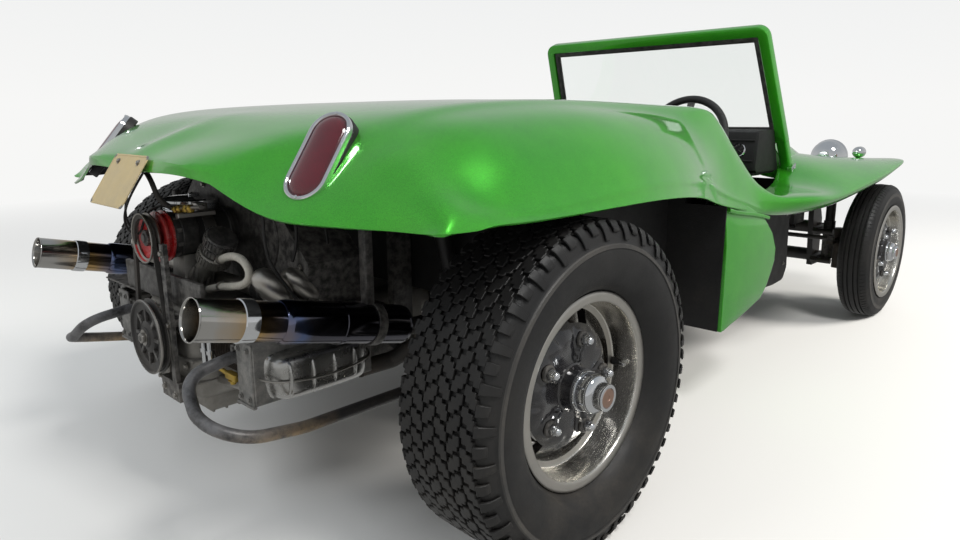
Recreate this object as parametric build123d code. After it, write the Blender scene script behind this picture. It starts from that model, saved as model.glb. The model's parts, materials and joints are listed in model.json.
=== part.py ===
import math
import os

from build123d import *

# Open fibreglass buggy on an air-cooled rear-engined chassis. Millimetres, +X forward, +Y left, +Z up.
# Stations along X are measured from the rear axle, and the finished pieces are moved at the end, so
# that the origin is on the ground under the middle of the whole vehicle.

wheelbase = 2400.0
rear_reach = 645.0            # rear axle back to the tail pipe tips
front_reach = 2795.0          # rear axle forward to the nose
skin = 6.0                    # wall of the fibreglass mouldings
sheet = 3.0                   # wall of the pressed steel floor
fit_gap = 0.3                 # clearance between curved faces of different bodies

# Wheels: radius, width and places of the tyres, rims and drums
rim_radius = 208.0            # outside of the rim flange
rim_wall = 7.0
rear_tyre_radius = 355.0
rear_tyre_width = 236.0
rear_tyre_middle = 750.0
rear_rim_width = 193.0
rear_flange_y = 833.0         # outer face of the rear rim flange
rear_disc_y = 782.0           # where the rear wheel centre bolts on
rear_cap_y = 878.0            # end of the rear hub cap
front_tyre_radius = 300.0
front_tyre_width = 138.0
front_tyre_middle = 704.0
front_rim_width = 140.0
front_flange_y = 775.0
front_disc_y = 742.0
front_cap_y = 806.0
bead_radius = 198.0           # the tyre's inner radius, where it seats on the rim
disc_wall = 12.0
drum_radius = 140.0
drum_length = 75.0
drum_set = 30.0               # drum's outer end behind the wheel centre
cap_radius = 34.0

# Rear moulding
deck_top = 942.0
deck_lip = 728.0
fender_half = 850.0
deck_front = 800.0            # where the deck meets the cockpit sides
opening_half = 555.0          # half width of the cockpit opening
opening_rear = 150.0
tail_reach = 540.0             # rear axle back to the tail's lower edge at the middle
tail_lip = 790.0              # lower edge of the tail at the middle

# Cockpit
sill_z = 640.0
sill_inner = 565.0
scuttle_z = 850.0
fender_start = wheelbase - 800        # where the front fenders leave the cockpit sides
screen_base = (wheelbase - 650, 661.0)     # station and height of the screen posts' feet
screen_top = (wheelbase - 878, 1224.0)
screen_foot_half = 562.0
screen_head_half = 505.0
screen_depth = 36.0
screen_border = 58.0
screen_rail = 46.0
glass_wall = 6.0

# Floor and tub
floor_z = 245.0
floor_rear = 470.0
floor_front = wheelbase - 500
floor_half = 545.0
toe_half = 430.0
tub_half = 497.0
tub_floor_z = 470.0
tub_rear = 60.0
tub_front = 880.0             # black panels across the body behind the front seats
arch_shelf_z = 745.0

# Front suspension and steering
beam_x = wheelbase + 125.0
beam_low_z = 222.0
beam_high_z = 362.0
beam_half = 420.0
beam_radius = 30.0
tow_eye_radius = 10.0
tow_eye_width = 14.0
kingpin_y = 560.0
hub_z = front_tyre_radius
steer_arm = 125.0             # kingpin back to the track rod's pin
steer_arm_y = kingpin_y       # the arms point straight back, so the linkage stays a parallelogram
track_rod_z = 352.0
steer_pin_radius = 7.0
wheel_centre = (wheelbase - 1150, -340.0, 817.0)    # middle of the steering wheel
column_drop = 20.0            # degrees the column falls, going forward
gearbox_distance = 1098.0 / math.cos(math.radians(column_drop))    # along the column, to the steering box
steering_wheel_radius = 155.0
steering_rim_radius = 13.0
column_radius = 19.0
gearbox_depth = 20.0          # steering box below the column's line

tray_z = 430.0
tray_half = 380.0
tray_front = wheelbase - 145

# Engine
crank_x = -547.0
crank_z = 419.0
crank_nose = -526.0            # end of the crankcase boss behind the pulley
flange_x = -130.0             # engine to gearbox joint
crank_pulley_radius = 86.5
generator_x = -509.0
generator_z = 644.0
generator_pulley_radius = 60.0
generator_radius = 52.0
pulley_width = 24.0
belt_wall = 5.0
case_half = 120.0
head_half = 350.0
cover_depth = 48.0
shroud_front = -190.0
shroud_rear = -330.0

# Exhaust, bumper, plate and lamps
pipe_radius = 39.0
tip_z = 568.0
pipe_wall = 2.0
muffler_radius = 43.0
header_radius = 20.0
bumper_radius = 12.7
plate_width = 184.0
plate_height = 124.0
plate_wall = 3.0
plate_top = (-534.0, 826.0)    # station and height of the plate's upper and lower edges
plate_foot = (-602.0, 722.0)
lamp_length = 180.0
lamp_width = 88.0
headlamp_radius = 85.0
headlamp_z = 702.0

move_to_middle = (rear_reach - front_reach) / 2
parts = {}


def box(x0, x1, y0, y1, z0, z1):
    return Pos((x0 + x1) / 2, (y0 + y1) / 2, (z0 + z1) / 2) * Box(x1 - x0, y1 - y0, z1 - z0)


def rod(start, end, radius):
    """Round bar between two points."""
    line = Vector(*end) - Vector(*start)
    plane = Plane(origin=start, z_dir=line)
    return extrude(plane * Circle(radius), line.length)


def ring(centre, radius, hole, width, axis=(0, 1, 0)):
    """Round ring around an axis, centred on a point."""
    plane = Plane(origin=Vector(*centre) - Vector(*axis) * (width / 2), z_dir=axis)
    return extrude(plane * (Circle(radius) - Circle(hole)), width)


def polygon(points):
    return make_face(Polyline(points, close=True))


def side_profile(points, y0, y1):
    """Outline of (x, z) pairs carried from y0 to y1."""
    face = polygon([(x, y0, z) for x, z in points])
    return extrude(face, y1 - y0, dir=(0, 1, 0))


def plan_profile(points, z0, z1):
    """Outline of (x, y) pairs carried from z0 to z1."""
    return extrude(polygon([(x, y, z0) for x, y in points]), z1 - z0, dir=(0, 0, 1))


def cross_profile(points, x0, x1):
    """Outline of (y, z) pairs carried from x0 to x1."""
    return extrude(polygon([(x0, y, z) for y, z in points]), x1 - x0, dir=(1, 0, 0))


def pipe(points, radius, bend):
    """Round bar along straight runs with bends of one radius."""
    path = FilletPolyline(*points, radius=bend)
    start = Plane(origin=path @ 0, z_dir=path % 0)
    return sweep(start * Circle(radius), path=path)


def other_side(shape):
    return mirror(shape, about=Plane.XZ)


def hoop(x, half, low, shoulder, top, bow, inset=0.0, drop=0.0):
    """Section across the body: a side arc, a flat top and the mirrored side arc."""
    foot = Vector(x, half - inset, low - drop)
    neck = Vector(x, shoulder - inset * 0.4, top - inset)
    chord = (neck - foot).normalized()
    outward = Vector(0, chord.Z, -chord.Y)
    middle = (foot + neck) / 2 + outward * bow
    flip = [Vector(x, -p.Y, p.Z) for p in (foot, middle, neck)]
    edges = [
        ThreePointArc(foot, middle, neck),
        Line(neck, flip[2]),
        ThreePointArc(flip[2], flip[1], flip[0]),
        Line(flip[0], foot),
    ]
    return make_face(edges)


def tail_plan(z, middle, valley, hump, corner, inset=0.0):
    """Level outline of the tail: middle, valleys, humps behind the fenders, and corners."""
    wide = fender_half + 60
    rear = [(corner, wide), (hump, 560), (valley, 345), (middle, 0)]
    left = [(x + inset, y, z) for x, y in rear]
    right = [(x, -y, z) for x, y, _ in reversed(left[:-1])]
    return polygon([(1200, wide, z), *left, *right, (1200, -wide, z)])


def rear_moulding(inset=0.0, drop=0.0):
    """Solid shape of deck and fenders, or of the space inside them."""
    # x, half width at the lip, lip height, shoulder y, top height, bow of the side
    stations = [
        (-700, fender_half, deck_lip, 560, deck_top - 75, 50),
        (-230, fender_half, deck_lip, 590, deck_top, 50),
        (200, fender_half, deck_lip + 4, 605, deck_top + 3, 50),
        (500, fender_half - 55, deck_lip - 20, 600, deck_top - 3, 40),
        (deck_front, fender_half - 148, deck_lip - 74, 590, deck_top - 12, 20),
    ]
    over = loft([hoop(*row, inset, drop) for row in stations], ruled=True)
    # z, then the rear edge at the middle, valley, hump and corner
    levels = [
        (deck_lip - 60, -tail_reach - 12, -548, -510, -390),
        (tail_lip, -tail_reach - 5, -522, -425, -345),
        (tail_lip + 42, 20 - tail_reach, -505, -385, -310),
        (deck_top - 52, 172 - tail_reach, -400, -345, -270),
        (deck_top + 10, 270 - tail_reach, -290, -280, -200),
    ]
    tail = loft([tail_plan(*row, inset) for row in levels], ruled=True)
    return over & tail


def screen_plane(offset=0.0):
    """Plane of the windscreen, local y up the rake, moved along its forward normal."""
    rake = Vector(screen_top[0] - screen_base[0], 0, screen_top[1] - screen_base[1]).normalized()
    normal = Vector(0, 1, 0).cross(rake)
    origin = Vector(screen_base[0], 0, screen_base[1]) + normal * offset
    return Plane(origin=origin, x_dir=(0, 1, 0), z_dir=normal)


screen_height = math.dist(screen_base, screen_top)


def trapezium(plane, foot_half, head_half, low, high, depth):
    outline = [(-foot_half, low), (foot_half, low), (head_half, high), (-head_half, high)]
    return extrude(plane * Polygon(*outline, align=None), depth)


def make_windscreen():
    """Frame with its window cut, open below the rail where the scuttle passes, and the glass."""
    back = screen_plane(-screen_depth / 2)
    frame = trapezium(back, screen_foot_half, screen_head_half, 0, screen_height, screen_depth)
    rail_low = (scuttle_z - screen_base[1] - screen_rail) / math.cos(math.radians(22))
    rail_high = rail_low + screen_rail

    def inner_half(level):
        share = level / screen_height
        return screen_foot_half + (screen_head_half - screen_foot_half) * share - screen_border

    high = screen_height - screen_border
    window = trapezium(back, inner_half(rail_high), inner_half(high), rail_high, high, screen_depth)
    below = trapezium(back, screen_foot_half - 45, screen_foot_half - 50, -1, rail_low, screen_depth)
    glass = trapezium(screen_plane(-glass_wall / 2), inner_half(rail_high), inner_half(high),
                      rail_high, high, glass_wall)
    parts["windscreen_frame"] = frame - window - below
    parts["windscreen_glass"] = glass


def behind_screen():
    """Space behind the front face of the windscreen frame."""
    return extrude(screen_plane(screen_depth / 2) * Rectangle(2400, 2400), -900)


def ahead_of_screen():
    return extrude(screen_plane(-screen_depth / 2) * Rectangle(2400, 2400), 900)


def make_bonnet():
    # x, half width at the foot, foot height, shoulder y, top height, bow of the side
    stations = [
        (fender_start, 548, 640, 470, scuttle_z + 12, 14),
        (wheelbase - 350, 505, 668, 400, 806, 16),
        (wheelbase + 50, 420, 610, 310, 742, 18),
        (front_reach, 340, 520, 230, 640, 20),
    ]
    outer = loft([hoop(*row) for row in stations], ruled=True)
    inside = [(row[0] if row[0] < front_reach else front_reach - skin, *row[1:]) for row in stations]
    hollow = loft([hoop(*row, skin, 40) for row in inside], ruled=True)
    parts["bonnet"] = outer - hollow - behind_screen()
    return outer - behind_screen()


def fender_face(x, outer_y, outer_z, crown_y, crown_z, inner_y, inner_z):
    top = [(x, inner_y, inner_z), (x, crown_y, crown_z), (x, outer_y, outer_z)]
    low = [(x, y, z - skin) for _, y, z in reversed(top)]
    return polygon(top + low)


def make_front_fenders(bonnet_shape):
    # x, outer y, outer z, crown y, crown z, inner y, inner z
    stations = [
        (fender_start, 775, 618, 650, sill_z + 6, 500, 668),
        (wheelbase - 600, 776, 630, 640, 702, 470, 742),
        (wheelbase - 400, 776, 646, 640, 716, 440, 744),
        (wheelbase - 100, 774, 676, 630, 722, 400, 722),
        (wheelbase + 200, 748, 700, 610, 712, 340, 660),
        (wheelbase + 350, 640, 702, 540, 696, 300, 630),
    ]
    wing = loft([fender_face(*row) for row in stations], ruled=True)
    wing = wing - bonnet_shape - parts["windscreen_frame"]
    wing = wing.solids().sort_by(Axis.Y)[-1]
    parts["front_fender_left"] = wing
    parts["front_fender_right"] = other_side(wing)


def make_cockpit_sides():
    """Body side from the deck down the raked edge of the opening and along the sill."""
    # share of the way to the fenders, lower outer y, lower z, upper outer y, upper z, inner y
    stations = [
        (0.0, 702, 654, 606, deck_top - 14, 556),
        (0.26, 690, 616, 650, 756, 566),
        (0.47, 680, 590, 660, sill_z + 4, sill_inner),
        (0.64, 672, 572, 712, sill_z, sill_inner),
        (0.84, 700, 563, 773, sill_z - 8, sill_inner),
        (1.0, 715, 566, 775, 618, sill_inner),
    ]
    faces = []
    for share, low_y, low_z, top_y, top_z, inner_y in stations:
        x = deck_front + share * (fender_start - deck_front)
        points = [(x, low_y, low_z), (x, top_y, top_z), (x, inner_y, top_z), (x, inner_y, low_z)]
        faces.append(polygon(points))
    side = loft(faces, ruled=True)
    parts["cockpit_side_left"] = side
    parts["cockpit_side_right"] = other_side(side)


def make_rear_body():
    shell = rear_moulding() - rear_moulding(skin, 60)
    shell = shell - box(deck_front - 1, 1300, -900, 900, 0, 1200)
    opening = box(opening_rear, 1300, -opening_half, opening_half, 800, 1200)
    opening = fillet(opening.edges().filter_by(Axis.Z).sort_by(Axis.X)[:2], 150)
    # y, z of the raised lower edge of the tail
    tail_edge = [(-640, 600), (-600, 728), (-420, 750), (-320, 783), (-90, tail_lip), (90, tail_lip),
                 (320, 783), (420, 750), (600, 728), (640, 600)]
    parts["rear_body"] = shell - opening - cross_profile(tail_edge, -700, -200)


def lamp_plane(side):
    """Plane of a tail lamp on the sloping back of a fender hump; side is -1 on the right."""
    centre = Vector(-404, side * 515, 834)
    up_the_lamp = Vector(100, side * 25, 144).normalized()
    across = Vector(0.36, side * 0.93, 0)
    facing = across.cross(up_the_lamp) * side
    if facing.X > 0:
        facing = facing * -1
    return Plane(origin=centre, x_dir=up_the_lamp, z_dir=facing)


def make_tail_lamps():
    lamps = []
    for side in (-1, 1):
        plane = lamp_plane(side)
        body = extrude(plane * SlotOverall(lamp_length, lamp_width), 22)
        body += extrude(plane * SlotOverall(lamp_length - 14, lamp_width - 14), -34)
        lamps.append(body)
    parts["rear_body"] = parts["rear_body"] - lamps[0] - lamps[1]
    parts["tail_lamps"] = Compound(lamps)


def make_front_lamps():
    """Headlamps and small indicators standing on the front fenders."""
    lamps = []
    for side in (-1, 1):
        x, y, z = wheelbase + 235, side * 400, headlamp_z
        bowl = Pos(x, y, z) * Sphere(headlamp_radius - 4)
        bowl = bowl - box(x + 10, x + 200, y - 200, y + 200, z - 200, z + 200)
        bowl += rod((x + 4, y, z), (x + 26, y, z), headlamp_radius)
        lamps.append(bowl)
        x, y, z = wheelbase + 90, side * 575, 734
        small = Pos(x, y, z) * Sphere(26) + rod((x, y, z), (x + 40, y, z), 26)
        small += rod((x + 15, y, z - 50), (x + 15, y, z), 12)
        lamps.append(small)
    cutters = [parts["bonnet"], parts["front_fender_left"], parts["front_fender_right"]]
    seated = []
    for lamp in lamps:
        for cutter in cutters:
            lamp = lamp - cutter
        seated.append(lamp.solids().sort_by(Axis.Z)[-1])
    parts["front_lamps"] = Compound(seated)


def make_side_pods():
    """Panels that carry the body side down to the floor behind the doors' place."""
    # z, rear x, front x, outer y
    levels = [
        (floor_z + 8, 890, 1172, 696),
        (454, 884, 1284, 704),
        (660, 882, 1190, 700),
    ]
    faces = []
    for z, rear_x, front_x, outer_y in levels:
        inner = floor_half + 2 * sheet
        front_corner = [(front_x - 130, outer_y - 6), (front_x, outer_y - 70), (front_x, inner)]
        outline = [(rear_x, inner), (rear_x, outer_y), *front_corner]
        faces.append(polygon([(x, y, z) for x, y in outline]))
    pod = loft(faces, ruled=True) - parts["cockpit_side_left"]
    pod = pod.solids().sort_by(Axis.Z)[0]
    parts["side_pod_left"] = pod
    parts["side_pod_right"] = other_side(pod)


def make_floor():
    """Pressed floor with tunnel, footwell sides and toe board."""
    # x, half width
    outline = [
        (floor_rear, toe_half),
        (tub_front, floor_half),
        (floor_front - 400, floor_half),
        (floor_front, toe_half),
    ]
    loop = outline + [(x, -half) for x, half in reversed(outline)]
    floor = plan_profile(loop, floor_z, floor_z + sheet)
    tunnel = box(floor_rear, floor_front, -75, 75, floor_z, floor_z + 130)
    tunnel = fillet(tunnel.edges().filter_by(Axis.X).sort_by(Axis.Z)[-2:], 40)
    floor += tunnel
    wall_top = 560.0
    inner = [(x, half - sheet) for x, half in outline]
    walls = plan_profile(loop, floor_z, wall_top)
    inner_loop = inner + [(x, -half) for x, half in reversed(inner)]
    inside = plan_profile(inner_loop, 0, 900)
    walls = walls - inside - box(floor_rear - 1, tub_front, -700, 700, 0, 900)
    floor += walls
    toe = side_profile([(floor_front - 60, floor_z), (floor_front, floor_z), (floor_front + 30, 640),
                        (floor_front + 27, 640), (floor_front - 10, floor_z + 90)], -toe_half, toe_half)
    parts["floor_pan"] = floor + toe


def make_rear_tub():
    """Well of the rear seat: floor, stepped walls beside the wheels, and the wall behind it."""
    top = deck_top - 12
    half = [(0, tub_floor_z), (tub_half, tub_floor_z), (tub_half, arch_shelf_z),
            (opening_half, arch_shelf_z), (opening_half, top)]
    grown = [(0, tub_floor_z - skin), (tub_half + skin, tub_floor_z - skin),
             (tub_half + skin, arch_shelf_z - skin), (opening_half + skin, arch_shelf_z - skin),
             (opening_half + skin, top)]
    outer = cross_profile(grown + [(-y, z) for y, z in reversed(grown)], tub_rear, tub_front)
    inner = cross_profile([*half, (opening_half, 1000), (-opening_half, 1000),
                           *[(-y, z) for y, z in reversed(half)]], tub_rear + skin, tub_front + 1)
    tub = outer - inner
    well = box(floor_rear, tub_front, -tub_half - skin, tub_half + skin, floor_z + sheet, tub_floor_z)
    space = box(floor_rear + skin, tub_front + 1, -tub_half, tub_half, floor_z - 1, tub_floor_z + 1)
    tub = tub + well - space - parts["floor_pan"]
    for side in (-1, 1):
        panel = [(side * (tub_half + skin), floor_z + 8), (side * 690, floor_z + 8), (side * 694, 660),
                 (side * 640, 780), (side * (tub_half + skin), 780)]
        tub += cross_profile(panel, tub_front - skin, tub_front)
    for name in ("rear_body", "cockpit_side_left", "cockpit_side_right"):
        tub = tub - parts[name]
    parts["rear_tub"] = tub.solids().sort_by(SortBy.VOLUME)[-1]


def make_seats():
    low = floor_z + sheet
    # x, z of a front seat's outline, then of the bench
    front = [(700, low), (1190, low), (1240, low + 120), (1235, low + 165), (830, low + 125), (700, 850),
             (610, 860), (600, 830), (690, low + 60)]
    bench = [(tub_rear + 60, tub_floor_z), (455, tub_floor_z), (465, 560), (450, 590), (200, 565),
             (150, 870), (80, 880), (tub_rear + skin, 850), (tub_rear + skin, 560)]
    for name, side in (("front_seat_left", 1), ("front_seat_right", -1)):
        y0, y1 = sorted((side * 85, side * 485))
        parts[name] = side_profile(front, y0, y1)
    parts["rear_bench"] = side_profile(bench, -470, 470)


def make_dash():
    x = screen_base[0]
    outline = [(x - 250, 690), (x - 230, scuttle_z), (x - 30, scuttle_z), (x - 30, 690)]
    dash = side_profile(outline, -510, 510) - ahead_of_screen()
    for name in ("cockpit_side_left", "cockpit_side_right", "front_fender_left", "front_fender_right"):
        dash = dash - parts[name]
    parts["dash_panel"] = dash


def column_point(distance):
    angle = math.radians(column_drop)
    x, y, z = wheel_centre
    return (x + distance * math.cos(angle), y, z - distance * math.sin(angle))


def column_bore():
    """Passage of the column through the dash, toe board and nose tray."""
    return rod(column_point(60), column_point(gearbox_distance + 110), column_radius + fit_gap)


def make_steering():
    axis = Vector(*column_point(1)) - Vector(*wheel_centre)
    start, end = column_point(70), column_point(gearbox_distance - 60)
    for name in ("dash_panel", "floor_pan"):
        parts[name] = parts[name] - column_bore()
    x, y, z = column_point(gearbox_distance)
    gearbox = box(x - 60, x + 70, y - 45, y + 45, z - gearbox_depth, z + 60)
    column = rod(start, end, column_radius)
    column += rod(column_point(gearbox_distance - 90), column_point(gearbox_distance), column_radius * 0.6)
    parts["steering_column"] = column + gearbox
    face = Plane(origin=wheel_centre, z_dir=axis)
    rim = face * Torus(steering_wheel_radius, steering_rim_radius)
    hub = rod(column_point(-18), column_point(70 - fit_gap), 28)
    wheel = rim + hub
    for turn in (90, 210, 330):
        spoke = Pos(steering_wheel_radius / 2, 0, 0) * Box(steering_wheel_radius, 26, 5)
        wheel += face * Rot(0, 0, turn) * spoke
    parts["steering_wheel"] = wheel


def make_floor_controls():
    """Gear lever, handbrake and pedals."""
    tunnel_top = floor_z + 130
    lever_x, brake_x, pedal_x = floor_front - 420, floor_front - 570, floor_front - 120
    lever = rod((lever_x, 0, tunnel_top), (lever_x - 60, 0, tunnel_top + 330), 6)
    lever += Pos(lever_x - 60, 0, tunnel_top + 335) * Sphere(22)
    brake = rod((brake_x, 0, tunnel_top + 10), (brake_x - 210, 0, tunnel_top + 60), 12)
    brake += box(brake_x - 30, brake_x + 20, -18, 18, tunnel_top, tunnel_top + 24)
    pieces = [lever, brake]
    for y in (-440, -370, -290):
        stem = rod((pedal_x, y, floor_z + sheet), (pedal_x - 40, y, floor_z + 190), 6)
        stem += Pos(pedal_x - 42, y, floor_z + 196) * Rot(0, -15, 0) * Box(12, 58, 66)
        pieces.append(stem)
    pieces = [piece - parts["floor_pan"] for piece in pieces]
    parts["floor_controls"] = Compound([piece.solids().sort_by(SortBy.VOLUME)[-1] for piece in pieces])


def make_front_frame():
    """Twin-tube beam with shock towers and trailing arms, and the frame head behind it."""
    beam = rod((beam_x, -beam_half, beam_low_z), (beam_x, beam_half, beam_low_z), beam_radius)
    beam += rod((beam_x, -beam_half, beam_high_z), (beam_x, beam_half, beam_high_z), beam_radius)
    eye_x = beam_x + 62
    lug = [(beam_x, -30), (eye_x, -24), (eye_x + 20, -12), (eye_x + 20, 12), (eye_x, 24), (beam_x, 30)]
    tow = plan_profile(lug, beam_low_z - tow_eye_width / 2, beam_low_z + tow_eye_width / 2)
    beam += tow - rod((eye_x, 0, beam_low_z - 40), (eye_x, 0, beam_low_z + 40), tow_eye_radius)
    for side in (-1, 1):
        inner, outer = sorted((side * 395, side * beam_half))
        tower = [(beam_x - 45, beam_low_z - 45), (beam_x + 45, beam_low_z - 45),
                 (beam_x + 45, beam_high_z + 40), (beam_x - 40, 560), (beam_x - 95, 560),
                 (beam_x - 75, beam_high_z + 30)]
        beam += side_profile(tower, inner, outer)
        inner, outer = sorted((side * 130, side * 150))
        rib = [(beam_x - 45, beam_low_z - 40), (beam_x + 35, beam_low_z - 40),
               (beam_x + 35, beam_high_z + 40), (beam_x - 45, beam_high_z + 40)]
        beam += side_profile(rib, inner, outer)
        for z in (beam_low_z, beam_high_z):
            y0 = side * (beam_half - 1)
            beam += rod((beam_x, y0, z), (beam_x, side * 462, z), beam_radius - 6)
            arm_low, arm_high = sorted((side * 440, side * 462))
            beam += side_profile([(beam_x + 22, z - 22), (beam_x + 22, z + 22), (wheelbase - 4, z + 16),
                                  (wheelbase - 18, z), (wheelbase - 4, z - 16)], arm_low, arm_high)
            beam += rod((wheelbase, side * 445, z), (wheelbase, side * (kingpin_y - 30), z), 13)
    head = box(floor_front - 20, beam_x - 45, -70, 70, floor_z, floor_z + 80)
    head += box(beam_x - 60, beam_x - 45, -160, 160, beam_low_z - 40, beam_high_z + 40)
    parts["front_beam"] = beam
    parts["frame_head"] = head - parts["floor_pan"]


def shock(low, high, radius):
    """Shock absorber: thick body below and a narrower sleeve above."""
    low, high = Vector(*low), Vector(*high)
    split = low + (high - low) * 0.55
    return rod(tuple(low), tuple(split), radius) + rod(tuple(split), tuple(high), radius * 0.82)


def make_shocks():
    pieces = []
    for side in (-1, 1):
        y = side * 492
        front = shock((wheelbase + 60, y, beam_low_z + 4), (beam_x - 66, y, 555), 26)
        front += rod((beam_x - 66, side * beam_half, 545), (beam_x - 66, y, 545), 9)
        front += rod((wheelbase + 60, side * 462, beam_low_z + 6), (wheelbase + 60, y, beam_low_z + 6), 9)
        rear = shock((28, side * 428, 410), (15, side * 380, 645), 26)
        rear += rod((15, side * 380, 630), (15, side * 380, 655), 8)
        rear += rod((28, side * 428, 414), (28, side * 471, 414), 9)
        pieces += [front, rear]
    parts["shock_absorbers"] = Compound([piece.solids()[0] for piece in pieces])


def make_rear_frame():
    """Torsion tube, frame fork to the engine and the spring plates out to the hubs."""
    tube_x, tube_z = 300.0, 330.0
    frame = rod((tube_x, -470, tube_z), (tube_x, 470, tube_z), 42)
    for side in (-1, 1):
        inner, outer = sorted((side * 175, side * 225))
        frame += side_profile([(tube_x, 300), (tube_x, 365), (-90, 365), (-110, 300)], inner, outer)
        inner, outer = sorted((side * 471, side * 479))
        spring_plate = [(tube_x + 45, tube_z - 45), (tube_x + 45, tube_z + 45), (20, 385), (-40, 385),
                        (-40, 325), (20, 325)]
        frame += side_profile(spring_plate, inner, outer)
        frame += side_profile([(8, 380), (8, 432), (48, 432), (48, 380)], inner, outer)
        frame += rod((tube_x, side * 460, tube_z), (tube_x, side * 490, tube_z), 30)
        drum_y = rear_disc_y - drum_set - drum_length - fit_gap
        frame += rod((0, side * 470, rear_tyre_radius), (0, side * drum_y, rear_tyre_radius), 45)
        hub = (0, side * drum_y, rear_tyre_radius)
        frame += rod((0, side * (drum_y - 5), rear_tyre_radius), hub, drum_radius)
        low, high = sorted((side * 200, side * 395))
        frame += box(-10, 50, low, high, 655, 680)
        low, high = sorted((side * 200, side * 225))
        frame += box(-10, 50, low, high, 340, 680)
    frame += box(380, floor_rear, -70, 70, floor_z + 10, floor_z + 110)
    frame += box(tube_x - 20, 400, -60, 60, 290, 350)
    parts["rear_frame"] = frame


def make_transaxle():
    case = fillet(box(flange_x, 180, -110, 110, 270, 440).edges().filter_by(Axis.X), 45)
    nose = rod((170, 0, 370), (255, 0, 370), 60)
    shafts = rod((0, -469, 355), (0, 469, 355), 26)
    boots = rod((0, -200, 355), (0, 200, 355), 62)
    parts["transaxle"] = case + nose + shafts + boots
    parts["rear_frame"] = parts["rear_frame"] - parts["transaxle"]
    parts["rear_tub"] = parts["rear_tub"] - parts["rear_frame"]


def make_engine():
    case = fillet(box(-500, flange_x, -case_half, case_half, 270, 500).edges().filter_by(Axis.X), 40)
    case += rod((crank_nose, 0, crank_z), (-490, 0, crank_z), 26)
    sump = box(-460, -180, -90, 90, 232, 275)
    engine = case + sump
    for side in (-1, 1):
        # x of each barrel's middle
        for x in (-390, -275):
            inner, outer = side * (case_half - 10), side * 290
            engine += rod((x, inner, 400), (x, outer, 400), 50)
        low, high = sorted((side * 285, side * head_half))
        engine += box(-465, -200, low, high, 335, 450)
    saddle_z = generator_z - 40
    stand = side_profile([(-470, 495), (-380, 495), (-395, saddle_z), (-455, saddle_z)], -40, 40)
    parts["engine"] = engine + stand
    covers = []
    for side in (-1, 1):
        low, high = sorted((side * head_half, side * (head_half + cover_depth)))
        cover = box(-455, -210, low, high, 332, 438)
        covers.append(fillet(cover.edges().filter_by(Axis.Y), 22))
    parts["rocker_covers"] = Compound(covers)


def make_shroud():
    """Fan shroud: round housing about the generator's axis with wide shoulders over the barrels."""
    depth = (shroud_rear, shroud_front)
    house = rod((depth[0], 0, generator_z), (depth[1], 0, generator_z), 168)
    wide = [(-330, 502), (330, 502), (340, 600), (170, 760), (-170, 760), (-340, 600)]
    house += cross_profile(wide, *depth)
    cup = rod((shroud_rear + 4, 0, generator_z), (shroud_rear - 300, 0, generator_z), generator_radius)
    generator = rod((generator_x + 14, 0, generator_z), (shroud_rear, 0, generator_z), generator_radius)
    parts["fan_shroud"] = house - cup
    parts["generator"] = generator - parts["fan_shroud"] - parts["engine"]
    parts["engine"] = parts["engine"] - parts["generator"] - parts["fan_shroud"]


def make_carburettor():
    """Carburettor, round air cleaner and the manifold pipes out to both heads."""
    x = -360.0
    body = rod((x, 110, 560), (x, 110, 640), 34) + rod((x, 110, 640), (x, 110, 720), 75)
    runs = pipe([(x - 30, -300, 452), (x - 30, -290, 540), (x - 30, 290, 540), (x - 30, 300, 452)], 17, 34)
    body += runs + rod((x - 12, 110, 540), (x - 12, 110, 565), 22)
    for name in ("fan_shroud", "generator", "engine"):
        body = body - parts[name]
    parts["carburettor"] = body.solids().sort_by(SortBy.VOLUME)[-1]


def make_oil_filler():
    neck = rod((-436, -36, 556), (-424, -150, 620), 20)
    cap = rod((-424, -150, 606), (-424, -150, 668), 34)
    filler = neck + cap
    for name in ("engine", "generator", "fan_shroud", "carburettor"):
        filler = filler - parts[name]
    parts["oil_filler"] = filler.solids().sort_by(SortBy.VOLUME)[-1]


def make_pulleys():
    def pulley(x, z, radius, hub):
        wheel = ring((x, 0, z), radius, 0.5, pulley_width, (1, 0, 0))
        groove = ring((x, 0, z), radius + 2, radius - 12, 10, (1, 0, 0))
        return wheel - groove + rod((x - 22, 0, z), (crank_nose - fit_gap, 0, z), hub)
    parts["crank_pulley"] = pulley(crank_x, crank_z, crank_pulley_radius, 17)
    front = ring((generator_x, 0, generator_z), generator_pulley_radius, 0.5, pulley_width + 2, (1, 0, 0))
    front += rod((crank_x, 0, generator_z), (generator_x + 14 - fit_gap, 0, generator_z), 14)
    parts["generator_pulley"] = pulley(crank_x, generator_z, generator_pulley_radius - 4, 12) + front
    # Belt: straight runs between the two grooves, each with its own clearance
    low_radius = crank_pulley_radius - 12 + fit_gap
    high_radius = generator_pulley_radius - 4 - 12 + fit_gap
    x0, x1 = crank_x - 4.5, crank_x + 4.5
    loop = belt_shape(low_radius + belt_wall, high_radius + belt_wall, x0, x1)
    parts["fan_belt"] = loop - belt_shape(low_radius, high_radius, x0 - 1, x1 + 1)


def belt_shape(low_radius, high_radius, x0, x1):
    """Solid bounded by two discs and the tangents between them."""
    span = generator_z - crank_z
    lean = math.asin((low_radius - high_radius) / span)
    low = (low_radius * math.cos(lean), crank_z + low_radius * math.sin(lean))
    high = (high_radius * math.cos(lean), generator_z + high_radius * math.sin(lean))
    web = cross_profile([low, high, (-high[0], high[1]), (-low[0], low[1])], x0, x1)
    low_disc = rod((x0, 0, crank_z), (x1, 0, crank_z), low_radius)
    high_disc = rod((x0, 0, generator_z), (x1, 0, generator_z), high_radius)
    return web + low_disc + high_disc


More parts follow.
